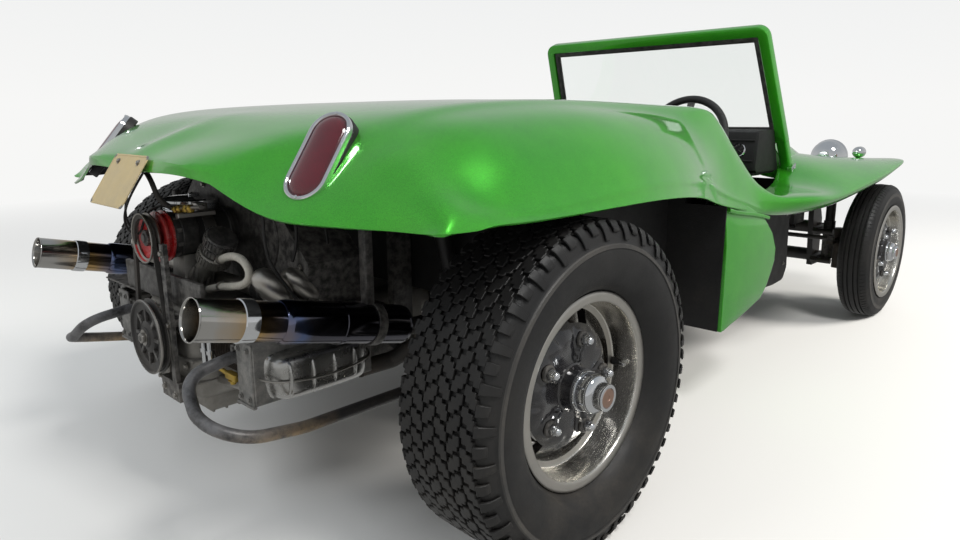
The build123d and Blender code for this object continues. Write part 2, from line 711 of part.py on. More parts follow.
def make_exhausts():
    """One tail pipe a side, from the head forward under the fender and back out to the tail."""
    joint = (-177, 450, 458)
    lean = math.atan2(tip_z - joint[2], rear_reach + joint[0])
    tip = (-rear_reach + pipe_radius * math.sin(lean), 450, tip_z)
    outer = rod(tip, joint, pipe_radius)
    back = math.tan(lean)
    bore_start = (tip[0] - 20, 450, tip[2] + 20 * back)
    bore = rod(bore_start, (-260, 450, joint[2] + 83 * back), pipe_radius - pipe_wall)
    muffler = rod((-470, 450, joint[2] + 293 * back), joint, muffler_radius)
    header_route = [(-185, 450, 459), (-120, 450, 445), (-90, 430, 400), (-130, 360, 345), (-205, 322, 330)]
    header = pipe(header_route, header_radius, 26)
    whole = outer + muffler + header - bore
    for name in ("engine", "rocker_covers"):
        whole = whole - parts[name]
    parts["exhaust_left"] = whole.solids().sort_by(SortBy.VOLUME)[-1]
    parts["exhaust_right"] = other_side(parts["exhaust_left"])


def make_rear_bumper():
    """Two hairpin tubes, one a side, from the cylinder heads out, around and forward to the frame."""
    loops = []
    for side in (-1, 1):
        # x, y, z, radius of the bend at that point
        route = [
            (-465, 278, 424, 0),
            (-587, 283, 406, 60),
            (-602, 353, 355, 60),
            (-596, 456, 327, 88),
            (-423, 440, 297, 150),
            (-40, 447, 300, 60),
            (-20, 300, 300, 40),
            (-20, 226, 330, 0),
        ]
        points = [Vector(x, side * y, z) for x, y, z, _ in route]
        bends = [bend for *_, bend in route[1:-1]]
        path = FilletPolyline(*points, radius=bends)
        start = Plane(origin=path @ 0, z_dir=path % 0)
        loop = sweep(start * Circle(bumper_radius), path=path)
        for name in ("engine", "rear_frame", "transaxle"):
            loop = loop - parts[name]
        loops.append(loop.solids().sort_by(SortBy.VOLUME)[-1])
    parts["rear_bumper"] = Compound(loops)


def make_engine_bracket():
    """Upright bar and foot bolted to the back of the crankcase, beside the pulleys."""
    case_x = -500
    bar = box(case_x - 30, case_x - 20, -96, -76, 283, 640)
    foot = box(case_x - 30, case_x, -105, -15, 283, 328)
    stay = box(case_x - 21, case_x, -96, -76, 456, 472)
    parts["engine_bracket"] = bar + foot + stay


def make_number_plate():
    """Blank plate on two spacers at the middle of the tail."""
    top = Vector(plate_top[0], 0, plate_top[1])
    foot = Vector(plate_foot[0], 0, plate_foot[1])
    rise = (top - foot).normalized()
    facing = rise.cross(Vector(0, 1, 0))
    if facing.X > 0:
        facing = facing * -1
    face = Plane(origin=(top + foot) / 2, x_dir=(0, 1, 0), z_dir=facing)
    plate = extrude(face * Rectangle(plate_width, plate_height), plate_wall)
    outside = extrude(face * Rectangle(2 * plate_width, 3 * plate_height), 60)
    for y in (-55, 55):
        spacer = box(-580, -505, y - 9, y + 9, 798, 813)
        plate += spacer - outside
    plate = plate - parts["rear_body"]
    parts["number_plate"] = plate.solids().sort_by(SortBy.VOLUME)[-1]


def make_nose_tray():
    """Open tray of the body ahead of the toe board, with the fuel tank standing in it."""
    top = 640.0
    walls = [(-tray_half, tray_z), (tray_half, tray_z), (tray_half + 60, top), (tray_half + 60 - skin, top),
             (tray_half - skin, tray_z + skin), (skin - tray_half, tray_z + skin),
             (skin - tray_half - 60, top), (-tray_half - 60, top)]
    tray = cross_profile(walls, floor_front + 20, tray_front)
    for name in ("floor_pan", "bonnet", "front_fender_left", "front_fender_right"):
        tray = tray - parts[name]
    tray = tray - column_bore()
    parts["nose_tray"] = tray.solids().sort_by(SortBy.VOLUME)[-1]
    tank = box(floor_front + 70, tray_front - 20, -290, 290, tray_z + skin, tray_z + skin + 160)
    parts["fuel_tank"] = fillet(tank.edges().filter_by(Axis.Z), 60)


def tyre(radius, width, middle_y, x, z):
    """Tyre as a turned ring with rounded shoulders, its bead seated on the rim."""
    half = width / 2
    shoulder = 34.0
    # radius, half width
    outline = [(bead_radius + fit_gap, half - 34), (bead_radius + 28, half - 6), (bead_radius + 60, half),
               (radius - shoulder, half - 4), (radius, half - shoulder)]
    points = [(w, r) for r, w in outline] + [(-w, r) for r, w in reversed(outline)]
    face = polygon([(0, w, r) for w, r in points])
    body = revolve(face, Axis.Y)
    return Pos(x, middle_y, z) * body


def rim(width, flange_y, disc_y, cap_y, x, z):
    """Rim with its flanges, wheel centre, hub cap and brake drum, on the left side."""
    inner_y = flange_y - width
    well = bead_radius - 4
    # y, radius of the outside of the barrel from the inner flange to the outer one
    outside = [(inner_y, rim_radius), (inner_y + 9, rim_radius), (inner_y + 9, bead_radius),
               (flange_y - 9, bead_radius), (flange_y - 9, rim_radius), (flange_y, rim_radius)]
    inside = [(flange_y, rim_radius - rim_wall), (flange_y - 22, well - rim_wall),
              (inner_y + 22, well - rim_wall), (inner_y, rim_radius - rim_wall)]
    barrel = revolve(polygon([(0, y, r) for y, r in outside + inside]), Axis.Y)
    # y, radius of the pressed centre from the rim in to the cap
    centre = [(disc_y - 42, well - rim_wall), (disc_y - 42, 165), (disc_y, 118), (disc_y + 6, 62),
              (disc_y + 34, 52), (disc_y + 36, cap_radius), (cap_y - 20, cap_radius),
              (cap_y, cap_radius * 0.7), (cap_y, 0), (disc_y - 30, 0), (disc_y - 30, 118),
              (disc_y - 42 - disc_wall, 158), (disc_y - 42 - disc_wall, well - rim_wall)]
    disc = revolve(polygon([(0, y, r) for y, r in centre]), Axis.Y)
    drum_out = disc_y - drum_set
    drum = rod((0, drum_out - drum_length, 0), (0, drum_out, 0), drum_radius)
    return Pos(x, 0, z) * (barrel + disc + drum)


def make_wheels():
    # name, axle x, tyre radius, tyre width, tyre middle, rim width, flange, disc, cap
    rows = [
        ("rear", 0.0, rear_tyre_radius, rear_tyre_width, rear_tyre_middle, rear_rim_width, rear_flange_y,
         rear_disc_y, rear_cap_y),
        ("front", wheelbase, front_tyre_radius, front_tyre_width, front_tyre_middle, front_rim_width,
         front_flange_y, front_disc_y, front_cap_y),
    ]
    for name, x, radius, width, middle, rim_width, flange, disc, cap in rows:
        left_tyre = tyre(radius, width, middle, x, radius)
        left_rim = rim(rim_width, flange, disc, cap, x, radius)
        left_tyre = left_tyre - left_rim
        parts[f"{name}_tyre_left"] = left_tyre
        parts[f"{name}_tyre_right"] = other_side(left_tyre)
        parts[f"{name}_rim_left"] = left_rim
        parts[f"{name}_rim_right"] = other_side(left_rim)


def make_knuckles():
    """Steered uprights with backing plate and steering arm, and the one-piece track rod."""
    plate_y = front_disc_y - drum_set - drum_length - fit_gap
    upright = rod((wheelbase, kingpin_y, beam_low_z - 24), (wheelbase, kingpin_y, beam_high_z + 24), 24)
    upright += rod((wheelbase, kingpin_y, hub_z), (wheelbase, plate_y, hub_z), 34)
    upright += rod((wheelbase, plate_y - 5, hub_z), (wheelbase, plate_y, hub_z), drum_radius)
    pin_x = wheelbase - steer_arm
    arm_low, arm_high = track_rod_z - 26, track_rod_z - 12
    upright += box(pin_x - 14, wheelbase, steer_arm_y - 14, steer_arm_y + 14, arm_low, arm_high)
    pin_top = (pin_x, steer_arm_y, track_rod_z + 14)
    upright += rod((pin_x, steer_arm_y, arm_high - 2), pin_top, steer_pin_radius)
    for z in (beam_low_z, beam_high_z):
        socket = rod((wheelbase, 400, z), (wheelbase, kingpin_y - 30 + fit_gap, z), 15)
        upright = upright - socket
    parts["knuckle_left"] = upright
    parts["knuckle_right"] = other_side(upright)
    track = rod((pin_x, -steer_arm_y, track_rod_z), (pin_x, steer_arm_y, track_rod_z), 10)
    pitman_y = wheel_centre[1]
    pin_hole = steer_pin_radius + 0.1
    for y in (-steer_arm_y, steer_arm_y, pitman_y):
        track += rod((pin_x, y, track_rod_z - 11.5), (pin_x, y, track_rod_z + 12), 16)
        track = track - rod((pin_x, y, track_rod_z - 40), (pin_x, y, track_rod_z + 40), pin_hole)
    parts["track_rod"] = track
    arm_low, arm_high = track_rod_z + 14, track_rod_z + 26
    arm = box(pin_x - 14, wheelbase + 12, pitman_y - 12, pitman_y + 12, arm_low, arm_high)
    arm += rod((pin_x, pitman_y, track_rod_z - 14), (pin_x, pitman_y, track_rod_z + 20), steer_pin_radius)
    gearbox_low = column_point(gearbox_distance)[2] - gearbox_depth
    arm += rod((wheelbase, pitman_y, track_rod_z + 14), (wheelbase, pitman_y, gearbox_low - fit_gap), 14)
    parts["pitman_arm"] = arm


def main():
    make_windscreen()
    bonnet_shape = make_bonnet()
    make_cockpit_sides()
    make_front_fenders(bonnet_shape)
    make_rear_body()
    make_tail_lamps()
    make_front_lamps()
    make_side_pods()
    make_floor()
    make_rear_tub()
    make_seats()
    make_dash()
    make_steering()
    make_floor_controls()
    make_front_frame()
    make_shocks()
    make_rear_frame()
    make_transaxle()
    make_engine()
    make_shroud()
    make_carburettor()
    make_oil_filler()
    make_pulleys()
    make_exhausts()
    make_rear_bumper()
    make_engine_bracket()
    make_number_plate()
    make_nose_tray()
    make_wheels()
    make_knuckles()
    os.makedirs("parts", exist_ok=True)
    for name, shape in parts.items():
        placed = Pos(move_to_middle, 0, 0) * shape
        solids = placed.solids()
        export_step(solids[0] if len(solids) == 1 else Compound(solids), f"parts/{name}.step")
        print(name, len(solids))


main()
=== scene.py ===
import json
import math
from math import asin, atan2, cos, degrees, exp, hypot, pi, radians, sin, tan
import bpy
from mathutils import Matrix, Vector

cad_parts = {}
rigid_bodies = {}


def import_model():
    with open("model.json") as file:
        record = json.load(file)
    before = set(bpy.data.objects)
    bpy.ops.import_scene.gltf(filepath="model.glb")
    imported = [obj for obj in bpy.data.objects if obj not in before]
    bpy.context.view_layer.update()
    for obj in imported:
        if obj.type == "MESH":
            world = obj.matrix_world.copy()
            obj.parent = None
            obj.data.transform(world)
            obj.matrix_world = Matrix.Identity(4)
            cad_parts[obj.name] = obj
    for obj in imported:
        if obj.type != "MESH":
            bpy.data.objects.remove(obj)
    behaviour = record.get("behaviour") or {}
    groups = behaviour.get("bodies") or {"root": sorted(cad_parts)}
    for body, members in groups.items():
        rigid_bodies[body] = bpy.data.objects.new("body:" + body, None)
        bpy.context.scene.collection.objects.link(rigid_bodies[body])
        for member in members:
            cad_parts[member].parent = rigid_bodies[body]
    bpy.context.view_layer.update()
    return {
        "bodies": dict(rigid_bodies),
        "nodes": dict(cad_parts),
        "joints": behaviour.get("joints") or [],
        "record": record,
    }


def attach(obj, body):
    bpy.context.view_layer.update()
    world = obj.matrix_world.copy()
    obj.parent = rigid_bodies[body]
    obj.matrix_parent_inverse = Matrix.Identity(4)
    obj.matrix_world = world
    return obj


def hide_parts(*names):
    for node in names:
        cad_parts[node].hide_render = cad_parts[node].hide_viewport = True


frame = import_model()

# Places are in millimetres, as on a drawing: x forward from the rear axle, y to the left, z up from the ground.
rearAxle = 1.075                       # metres from the frame's origin back to the rear axle
otherSide = Matrix.Diagonal((1, -1, 1, 1))


def spot(x, y, z):
    return Vector((x / 1000 - rearAxle, y / 1000, z / 1000))


def asSpot(place):                     # a vector is in metres already, a plain place is in mm
    return place if isinstance(place, Vector) else spot(*place)


def clearAll():                        # object mode with nothing selected
    if bpy.context.mode != "OBJECT":
        bpy.ops.object.mode_set(mode="OBJECT")
    bpy.ops.object.select_all(action="DESELECT")


def selectOnly(obj):
    clearAll()
    obj.select_set(True)
    bpy.context.view_layer.objects.active = obj


def editAll(obj):
    selectOnly(obj)
    bpy.ops.object.mode_set(mode="EDIT")
    bpy.ops.mesh.select_all(action="SELECT")


def primitive(kind, **values):
    clearAll()
    getattr(bpy.ops.mesh, "primitive_" + kind + "_add")(**values)
    return bpy.context.object


def outwards():                        # all faces turned outwards, then back to object mode
    bpy.ops.mesh.select_all(action="SELECT")
    bpy.ops.mesh.normals_make_consistent(inside=False)
    clearAll()


def mend(obj, gap=0.00002):            # doubles merged, then faces turned outwards
    editAll(obj)
    bpy.ops.mesh.remove_doubles(threshold=gap)
    outwards()


def modify(obj, kind, **values):       # adds one modifier and applies it
    selectOnly(obj)
    modifier = obj.modifiers.new(kind.lower(), kind)
    for name, value in values.items():
        setattr(modifier, name, value)
    if kind == "SUBSURF":
        modifier.render_levels = modifier.levels
    bpy.ops.object.modifier_apply(modifier=modifier.name)


def soften(obj, width, segments=1, angle=30):    # bevel in mm on edges sharper than the angle
    modify(obj, "BEVEL", width=width / 1000, segments=segments, limit_method="ANGLE", angle_limit=radians(angle))


def seat(obj):                         # the place goes into the mesh, the object to the origin
    selectOnly(obj)
    bpy.ops.object.transform_apply(location=True, rotation=True, scale=True)


def joined(pieces):
    clearAll()
    for piece in pieces:
        piece.select_set(True)
    bpy.context.view_layer.objects.active = pieces[0]
    if len(pieces) > 1:
        bpy.ops.object.join()
    return pieces[0]


def twinOf(obj):                       # mirror image with its own mesh
    twin = obj.copy()
    twin.data = obj.data.copy()
    bpy.context.scene.collection.objects.link(twin)
    twin.data.transform(otherSide)
    twin.data.flip_normals()
    return twin


def fullMirror(obj):                   # the piece and its mirror image, one mesh
    return joined([obj, twinOf(obj)])


def facingMatrix(place, direction, turn=0.0):    # local z along the direction, origin at the place
    tilt = Vector(direction).to_track_quat("Z", "Y").to_matrix().to_4x4()
    return Matrix.Translation(place) @ tilt @ Matrix.Rotation(radians(turn), 4, "Z")


def faceUp(obj, axis=2):               # an open sheet's faces turned to the positive side of the axis
    if sum(face.normal[axis] * face.area for face in obj.data.polygons) < 0:
        obj.data.flip_normals()


def turned(profile, place, direction, steps=48):    # profile in mm: radius, height
    obj = primitive("plane", size=0.001)
    editAll(obj)
    bpy.ops.mesh.merge(type="CENTER")
    points = [Vector((r / 1000, 0, h / 1000)) for r, h in profile]
    bpy.ops.transform.translate(value=points[0])
    for before, after in zip(points, points[1:]):
        bpy.ops.mesh.extrude_vertices_move(TRANSFORM_OT_translate={"value": after - before})
    bpy.ops.mesh.select_all(action="SELECT")
    bpy.ops.mesh.spin(steps=steps, angle=2 * pi, center=(0, 0, 0), axis=(0, 0, 1))
    mend(obj)
    obj.data.transform(facingMatrix(asSpot(place), direction))
    return obj


def lofted(rings, ringClosed=True, pathClosed=False, caps=True):
    rows = [list(ring) + ([ring[0]] if ringClosed else []) for ring in rings]
    if pathClosed:
        rows.append(rows[0])
    obj = primitive("grid", x_subdivisions=len(rows[0]) - 1, y_subdivisions=len(rows) - 1, size=1)
    obj.data.vertices.foreach_set("co", [value for row in rows for point in row for value in asSpot(point)])
    obj.data.update()
    mend(obj, 0.000001)
    if ringClosed and caps and not pathClosed:
        editAll(obj)
        bpy.ops.mesh.select_all(action="DESELECT")
        bpy.ops.mesh.select_mode(type="EDGE")
        bpy.ops.mesh.select_non_manifold()
        bpy.ops.mesh.fill_holes(sides=0)
        bpy.ops.mesh.select_mode(type="VERT")
        outwards()
    return obj


def block(low, high, bevel=2.0, segments=2):    # rounded box between two corners
    obj = primitive("cube", size=1)
    size = [b - a for a, b in zip(low, high)]
    obj.data.transform(Matrix.Diagonal((size[0] / 1000, size[1] / 1000, size[2] / 1000, 1)))
    if bevel:
        modify(obj, "BEVEL", width=bevel / 1000, segments=segments, limit_method="NONE")
    obj.data.transform(Matrix.Translation(spot(*[(a + b) / 2 for a, b in zip(low, high)])))
    return obj


def centred(obj, *matrices):           # a block made round (0, 0, 0) goes to the origin, then through the matrices
    for matrix in (Matrix.Translation(-spot(0, 0, 0)), *matrices):
        obj.data.transform(matrix)
    return obj


def blocksRound(count, z, *values):    # blocks round an axle along x at this height
    return [centred(block(*values), Matrix.Rotation(index * 2 * pi / count, 4, "X"),
        Matrix.Translation(spot(0, 0, z))) for index in range(count)]


def bent(points, bends):               # straight runs with a round bend at each inner point
    spots = [Vector(point) for point in points]
    path = [spots[0]]
    for before, corner, after, bend in zip(spots, spots[1:], spots[2:], bends):
        back, ahead = (before - corner).normalized(), (after - corner).normalized()
        half = back.angle(ahead) / 2
        reach = bend / tan(half)
        middle = corner + (back + ahead).normalized() * (bend / sin(half))
        first, last = corner + back * reach - middle, corner + ahead * reach - middle
        sweep = first.angle(last)
        count = max(2, int(degrees(sweep) / 7))
        for step in range(count + 1):
            share = step / count
            path.append(middle + (first * sin((1 - share) * sweep) + last * sin(share * sweep)) / sin(sweep))
    path.append(spots[-1])
    return [spot(*point) for point in path]


def tube(points, radius, smooth=False, sides=10, cyclic=False, radii=None):
    clearAll()
    data = bpy.data.curves.new("tube", "CURVE")
    data.dimensions = "3D"
    line = data.splines.new("NURBS" if smooth else "POLY")
    line.points.add(len(points) - 1)
    for index, (point, place) in enumerate(zip(line.points, points)):
        point.co = (*asSpot(place), 1)
        point.radius = radii[index] if radii else 1.0
    line.use_cyclic_u = cyclic
    if smooth:
        line.order_u = min(4, len(points))
        line.use_endpoint_u = True
        line.resolution_u = 8
    data.bevel_depth = radius / 1000
    data.bevel_resolution = max(1, sides // 2 - 2)
    data.use_fill_caps = True
    obj = bpy.data.objects.new("tube", data)
    bpy.context.scene.collection.objects.link(obj)
    selectOnly(obj)
    bpy.ops.object.convert(target="MESH")
    obj = bpy.context.object
    mend(obj, 0.000001)
    return obj


def rodBetween(start, end, radius, sides=20, bevel=0.0):    # turned bar between two places
    a, b = spot(*start), spot(*end)
    long = (b - a).length * 1000
    edge = min(bevel, radius / 2)
    profile = [(0, 0), (radius - edge, 0), (radius, edge), (radius, long - edge), (radius - edge, long), (0, long)]
    if not edge:
        profile = [(0, 0), (radius, 0), (radius, long), (0, long)]
    return turned(profile, a, b - a, sides)


def boltHead(place, direction, across=10.0, high=6.0):    # hexagon with a washer under it
    washer = turned([(0, 0), (across * 0.85, 0), (across * 0.85, 1.2), (0, 1.2)], place, direction, 20)
    head = primitive("cylinder", vertices=6, radius=across * 0.577 / 1000, depth=high / 1000,
        location=(0, 0, (high / 2 + 1.2) / 1000))
    seat(head)
    modify(head, "BEVEL", width=across * 0.05 / 1000, segments=1)
    head.data.transform(facingMatrix(asSpot(place), direction))
    return joined([washer, head])


print("frame loaded:", len(frame["nodes"]), "nodes")


def newGroup(name, inputs, outputs):
    group = bpy.data.node_groups.new(name, "ShaderNodeTree")
    for label, kind, value in inputs:
        socket = group.interface.new_socket(name=label, in_out="INPUT", socket_type="NodeSocket" + kind)
        socket.default_value = value
    for label, kind in outputs:
        group.interface.new_socket(name=label, in_out="OUTPUT", socket_type="NodeSocket" + kind)
    return group, group.nodes.new("NodeGroupInput").outputs, group.nodes.new("NodeGroupOutput")


def feed(tree, made, values):          # a socket is linked, any other value is set
    for socket, source in values.items():
        if isinstance(source, bpy.types.NodeSocket):
            tree.links.new(source, made.inputs[socket])
        else:
            made.inputs[socket].default_value = source
    return made


def node(tree, kind, values=None, **settings):
    made = tree.nodes.new("ShaderNode" + kind)
    for name, value in settings.items():
        setattr(made, name, value)
    return feed(tree, made, values or {})


def objectPlace(tree):
    return node(tree, "TexCoord").outputs["Object"]


def noiseOf(tree, scale, detail=3.0, rough=0.5):
    values = {"Vector": objectPlace(tree), "Scale": scale, "Detail": detail, "Roughness": rough}
    return node(tree, "TexNoise", values).outputs[0]


def mathOf(tree, operation, a, b=0.0, clamp=False):
    return node(tree, "Math", {0: a, 1: b}, operation=operation, use_clamp=clamp).outputs[0]


def times(tree, a, b, clamp=False):
    return mathOf(tree, "MULTIPLY", a, b, clamp)


def rangeOf(tree, value, low, high, toLow=0.0, toHigh=1.0):
    return node(tree, "MapRange", {"Value": value, "From Min": low, "From Max": high, "To Min": toLow,
        "To Max": toHigh}).outputs["Result"]


def blendOf(tree, share, first, second, mode="MIX"):
    first, second = [(*tone, 1.0) if isinstance(tone, tuple) else tone for tone in (first, second)]
    return node(tree, "Mix", {0: share, 6: first, 7: second}, data_type="RGBA", blend_type=mode).outputs[2]


def axisOf(tree, source, axis):
    return node(tree, "SeparateXYZ", {"Vector": source}).outputs[axis]


def bumpOf(tree, height, strength, distance=0.001):
    return node(tree, "Bump", {"Height": height, "Strength": strength, "Distance": distance}).outputs["Normal"]


def buildUnevenness():                 # slow and fine variation of a finish, 0 to 1
    group, start, end = newGroup("unevenness", [("Scale", "Float", 8.0), ("Contrast", "Float", 0.3)],
        [("Value", "Float")])
    slow = noiseOf(group, start["Scale"], 2.0)
    fine = noiseOf(group, times(group, start["Scale"], 7.0), 4.0)
    both = mathOf(group, "ADD", times(group, slow, 0.65), times(group, fine, 0.35))
    low, high = [mathOf(group, way, 0.5, start["Contrast"]) for way in ("SUBTRACT", "ADD")]
    feed(group, end, {"Value": rangeOf(group, both, low, high)})
    return group


def buildRoadDust():                   # pale dust, thicker low down and on what faces up
    group, start, end = newGroup("roadDust", [("Colour", "Color", (0.1, 0.1, 0.1, 1)), ("Amount", "Float", 0.3),
        ("Height", "Float", 0.7), ("Dust", "Color", (0.34, 0.28, 0.21, 1))], [("Colour", "Color"), ("Mask", "Float")])
    low = rangeOf(group, axisOf(group, objectPlace(group), "Z"), 0.0, start["Height"], 1.0, 0.12)
    lying = rangeOf(group, axisOf(group, node(group, "NewGeometry").outputs["Normal"], "Z"), -0.6, 1.0, 0.45, 1.0)
    patches = rangeOf(group, noiseOf(group, 9.0, 6.0, 0.65), 0.38, 0.72)
    specks = rangeOf(group, noiseOf(group, 160.0, 3.0), 0.45, 0.7, 0.55, 1.0)
    mask = times(group, times(group, low, lying), times(group, patches, specks))
    mask = times(group, mask, start["Amount"], True)
    feed(group, end, {"Mask": mask, "Colour": blendOf(group, mask, start["Colour"], start["Dust"])})
    return group


def buildGrain():                      # height of a moulded or cast surface
    group, start, end = newGroup("grain", [("Scale", "Float", 400.0), ("Softness", "Float", 0.5)],
        [("Height", "Float")])
    pits = node(group, "TexVoronoi", {"Vector": objectPlace(group), "Scale": start["Scale"]}).outputs["Distance"]
    swell = noiseOf(group, times(group, start["Scale"], 0.6), 5.0)
    mixed = node(group, "Mix", {0: start["Softness"], 2: pits, 3: swell}, data_type="FLOAT")
    feed(group, end, {"Height": mixed.outputs[0]})
    return group


def buildWornEdges():                  # 1 on sharp edges where the finish has rubbed off
    group, start, end = newGroup("wornEdges", [("Amount", "Float", 0.5), ("Scale", "Float", 60.0)],
        [("Mask", "Float")])
    sharp = rangeOf(group, node(group, "NewGeometry").outputs["Pointiness"], 0.52, 0.6)
    broken = rangeOf(group, noiseOf(group, start["Scale"], 6.0, 0.7), 0.4, 0.62)
    chips = rangeOf(group, noiseOf(group, 70.0, 8.0, 0.75), 0.68, 0.74)
    mask = mathOf(group, "MAXIMUM", times(group, sharp, broken), times(group, chips, 0.6))
    feed(group, end, {"Mask": times(group, mask, start["Amount"], True)})
    return group


def buildScuffs():                     # fine lines along one direction, for brushed and polished metal
    group, start, end = newGroup("scuffs", [("Scale", "Float", 30.0), ("Stretch", "Vector", (1, 1, 12))],
        [("Value", "Float")])
    place = node(group, "VectorMath", {0: objectPlace(group), 1: start["Stretch"]}, operation="MULTIPLY").outputs[0]
    lines = node(group, "TexNoise", {"Vector": place, "Scale": start["Scale"], "Detail": 6.0, "Roughness": 0.7})
    feed(group, end, {"Value": rangeOf(group, lines.outputs[0], 0.3, 0.7)})
    return group


effects = {
    "unevenness": buildUnevenness(),
    "roadDust": buildRoadDust(),
    "grain": buildGrain(),
    "wornEdges": buildWornEdges(),
    "scuffs": buildScuffs(),
}


def effect(tree, name, output, **values):
    made = tree.nodes.new("ShaderNodeGroup")
    made.node_tree = effects[name]
    return feed(tree, made, values).outputs[output]


def blankMaterial(name):
    material = bpy.data.materials.new(name)
    material.use_nodes = True
    tree = material.node_tree
    return material, tree, tree.nodes["Principled BSDF"]


def dusted(tree, shade, amount, height):    # the shade under its dust, and where the dust lies
    made = tree.nodes.new("ShaderNodeGroup")
    made.node_tree = effects["roadDust"]
    feed(tree, made, {"Colour": shade, "Amount": amount, "Height": height})
    return made.outputs["Colour"], made.outputs["Mask"]


def makeFinish(name, colour, second, patch=6.0, metallic=0.0, rough=(0.4, 0.5), grain=0.0, grainScale=500.0,
        softness=0.5, dust=0.0, dustHeight=0.7, wear=0.0, coat=0.0, coatRough=0.06, brushed=None):
    material, tree, shader = blankMaterial(name)
    shade = blendOf(tree, effect(tree, "unevenness", "Value", Scale=patch, Contrast=0.22), colour, second)
    if wear:
        shade = blendOf(tree, effect(tree, "wornEdges", "Mask", Amount=wear), shade, (0.42, 0.4, 0.37))
    roughness = rangeOf(tree, effect(tree, "unevenness", "Value", Scale=20.0, Contrast=0.25), 0.0, 1.0, *rough)
    if brushed:
        lines = effect(tree, "scuffs", "Value", Scale=brushed[0], Stretch=brushed[1])
        roughness = mathOf(tree, "ADD", roughness, times(tree, lines, 0.14))
    if dust:
        shade, mask = dusted(tree, shade, dust, dustHeight)
        roughness = mathOf(tree, "ADD", roughness, times(tree, mask, 0.5), True)
        if metallic:
            metallic = mathOf(tree, "SUBTRACT", metallic, mask, True)
    feed(tree, shader, {"Base Color": shade, "Roughness": roughness, "Specular IOR Level": 0.5, "Metallic": metallic,
        "Coat Weight": coat, "Coat Roughness": coatRough})
    if grain:
        height = effect(tree, "grain", "Height", Scale=grainScale, Softness=softness)
        feed(tree, shader, {"Normal": bumpOf(tree, height, grain)})
    return material


paint = {
    "body": (0.022, 0.29, 0.012),      # metallic green of the mouldings
    "light": (0.06, 0.44, 0.016),      # where the flakes lie flatter
    "flakeScale": 1500.0,
    "flakeTilt": 0.22,
    "metallic": 0.62,
    "roughness": 0.34,
    "dust": 0.1,
}


def makePaint():
    material, tree, shader = blankMaterial("greenPaint")
    flakes = node(tree, "TexVoronoi", {"Vector": objectPlace(tree), "Scale": paint["flakeScale"]})
    cloud = effect(tree, "unevenness", "Value", Scale=2.2, Contrast=0.3)
    glint = node(tree, "SeparateColor", {"Color": flakes.outputs["Color"]}).outputs[0]
    sparkle = rangeOf(tree, glint, 0.0, 1.0, 0.72, 1.3)
    base = blendOf(tree, 1.0, blendOf(tree, cloud, paint["body"], paint["light"]), node(tree, "CombineColor",
        {0: sparkle, 1: sparkle, 2: sparkle}).outputs[0], "MULTIPLY")
    shade = dusted(tree, base, paint["dust"], 0.75)[0]
    rough = paint["roughness"]
    feed(tree, shader, {
        "Base Color": shade, "Metallic": paint["metallic"],
        "Roughness": rangeOf(tree, glint, 0.0, 1.0, rough - 0.06, rough + 0.08),
        "Coat Weight": 1.0, "Coat Roughness": 0.03, "Coat IOR": 1.5,
        "Normal": bumpOf(tree, glint, paint["flakeTilt"], 0.0002),
        "Coat Normal": bumpOf(tree, noiseOf(tree, 130.0, 1.0), 0.06),    # orange peel of the clear coat
    })
    return material


